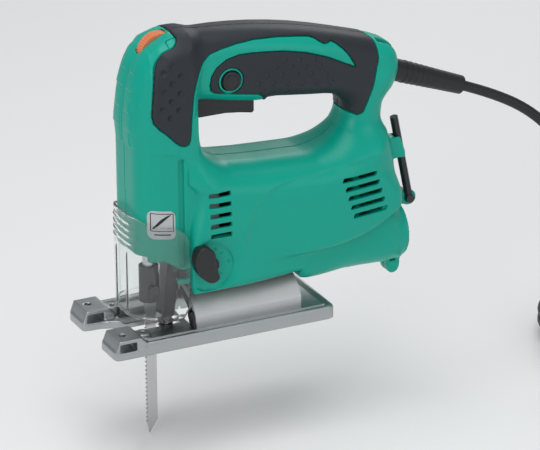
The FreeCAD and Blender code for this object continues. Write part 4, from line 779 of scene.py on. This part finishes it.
def make_lever():
    """Orbital lever: a knob on a small disc, and its shaft."""
    g = Grid((14.0, 42.0), (6.0, 41.0), (37.0, 70.0), 0.45)
    disc = both(round_hole(g, *LEVER, 5.6), span(g.y, 29.6, 32.4), 0.5)
    knob = pillow(g.polygon(smooth_outline(KNOB, 2)), np.abs(g.y - 33.9), 4.6, 1.6)
    shaft = common(round_hole(g, *LEVER, LEVER_SHAFT_R), span(g.y, 8.0, 32.0))
    mesh = g.mesh("lever_knob", np.minimum(either(disc, knob, 1.0), shaft), flip_y=True)
    new_piece("lever_knob", mesh, "black_plastic", "lever", ["orbital_lever"])


def make_dial():
    """Knurled speed dial in the head."""
    g = Grid((-7.0, 25.0), (-6.0, 6.0), (171.0, 204.0), 0.4)
    turn = np.arctan2(g.z - DIAL[1], g.x - DIAL[0])
    wheel = both(round_hole(g, *DIAL, DIAL_R + 0.35 * np.cos(48.0 * turn)), span(g.y, -3.5, 3.5), 0.6)
    wheel = minus(wheel, round_hole(g, *DIAL, 2.6) + 0.0 * g.y, 0.2)
    new_piece("dial_wheel", g.mesh("dial_wheel", wheel), "orange_plastic", "dial", ["speed_dial"])


def make_trigger():
    g = Grid((27.0, 75.0), (-10.0, 10.0), (136.0, 161.0), 0.45)
    paddle = pillow(g.polygon(PADDLE), g.across, 8.0, 1.6)
    mesh = g.mesh("trigger_paddle", paddle)
    new_piece("trigger_paddle", mesh, "black_plastic", "trigger_body", ["trigger"])


def make_lock_button():
    """Lock button, with a raised ring on its face."""
    g = Grid((43.0, 59.0), (5.0, 23.0), (159.0, 175.0), 0.35)
    button = pillow(round_hole(g, *BUTTON, BUTTON_R) + 0.0 * g.y, np.abs(g.y - 15.75), 4.35, 1.0)
    button = button + 0.5 * np.exp(-((round_hole(g, *BUTTON, 4.6) / 0.5) ** 2)) * ramp(g.y, 18.0, 19.0)
    new_piece("lock_cap", g.mesh("lock_cap", button, flip_y=True), "black_plastic", "button", ["lock_button"])


def make_screws():
    """Housing screws: heads in the right half, shanks across the parting plane."""
    around = 5.0
    for number, (x, z) in enumerate(SCREWS):
        g = Grid((x - around, x + around), (-10.5, 12.0), (z - around, z + around), 0.4)
        shank = common(round_hole(g, x, z, 1.9), g.across - 8.9)
        head = both(round_hole(g, x, z, 3.7), span(g.y, 7.0, 10.8), 0.6)
        cross = common(np.minimum(np.abs(g.x - x), np.abs(g.z - z)) - 0.45, round_hole(g, x, z, 2.3))
        screw = minus(np.minimum(shank, head), common(cross, 9.4 - g.y), 0.1)
        name = "case_screw_%d" % (number + 1)
        new_piece(name, g.mesh(name, screw), "steel", "tool_body", [] if number else ["housing_screws"])


def make_label():
    """Silver plate with a blade picture on the left of the column."""
    g = Grid((-12.0, 11.0), (16.0, 26.5), (67.0, 95.0), 0.25)
    wall = rounded_plan(g, COLUMN_FRONT, COLUMN_HALF, COLUMN_ROUND)
    plate = pillow(g.polygon(smooth_outline(LABEL, 2)), np.abs(wall), 0.4, 0.15)
    plate = g.mesh("blade_label", plate, flip_y=True)
    new_piece("blade_label", plate, "label_silver", "tool_body")
    border = np.abs(g.polygon(LABEL_FRAME)) - 0.32
    bar = common(np.abs(g.z - 74.6 + 0.17 * g.x) - 0.5, span(g.x, -6.1, 4.9))
    picture = np.minimum(np.minimum(border, g.polygon(LABEL_BLADE)), bar)
    ink = common(picture, np.abs(wall - 0.3) - 0.2)
    new_piece("label_picture", g.mesh("label_picture", ink, flip_y=True), "black_plastic", "tool_body")


make_camera()
make_studio()
finish_nodes()
make_cord()
make_housing(-1)
make_housing(1)
make_cover()
make_sole()
make_cradle_shade()
make_lever()
make_dial()
make_trigger()
make_lock_button()
make_screws()
make_label()
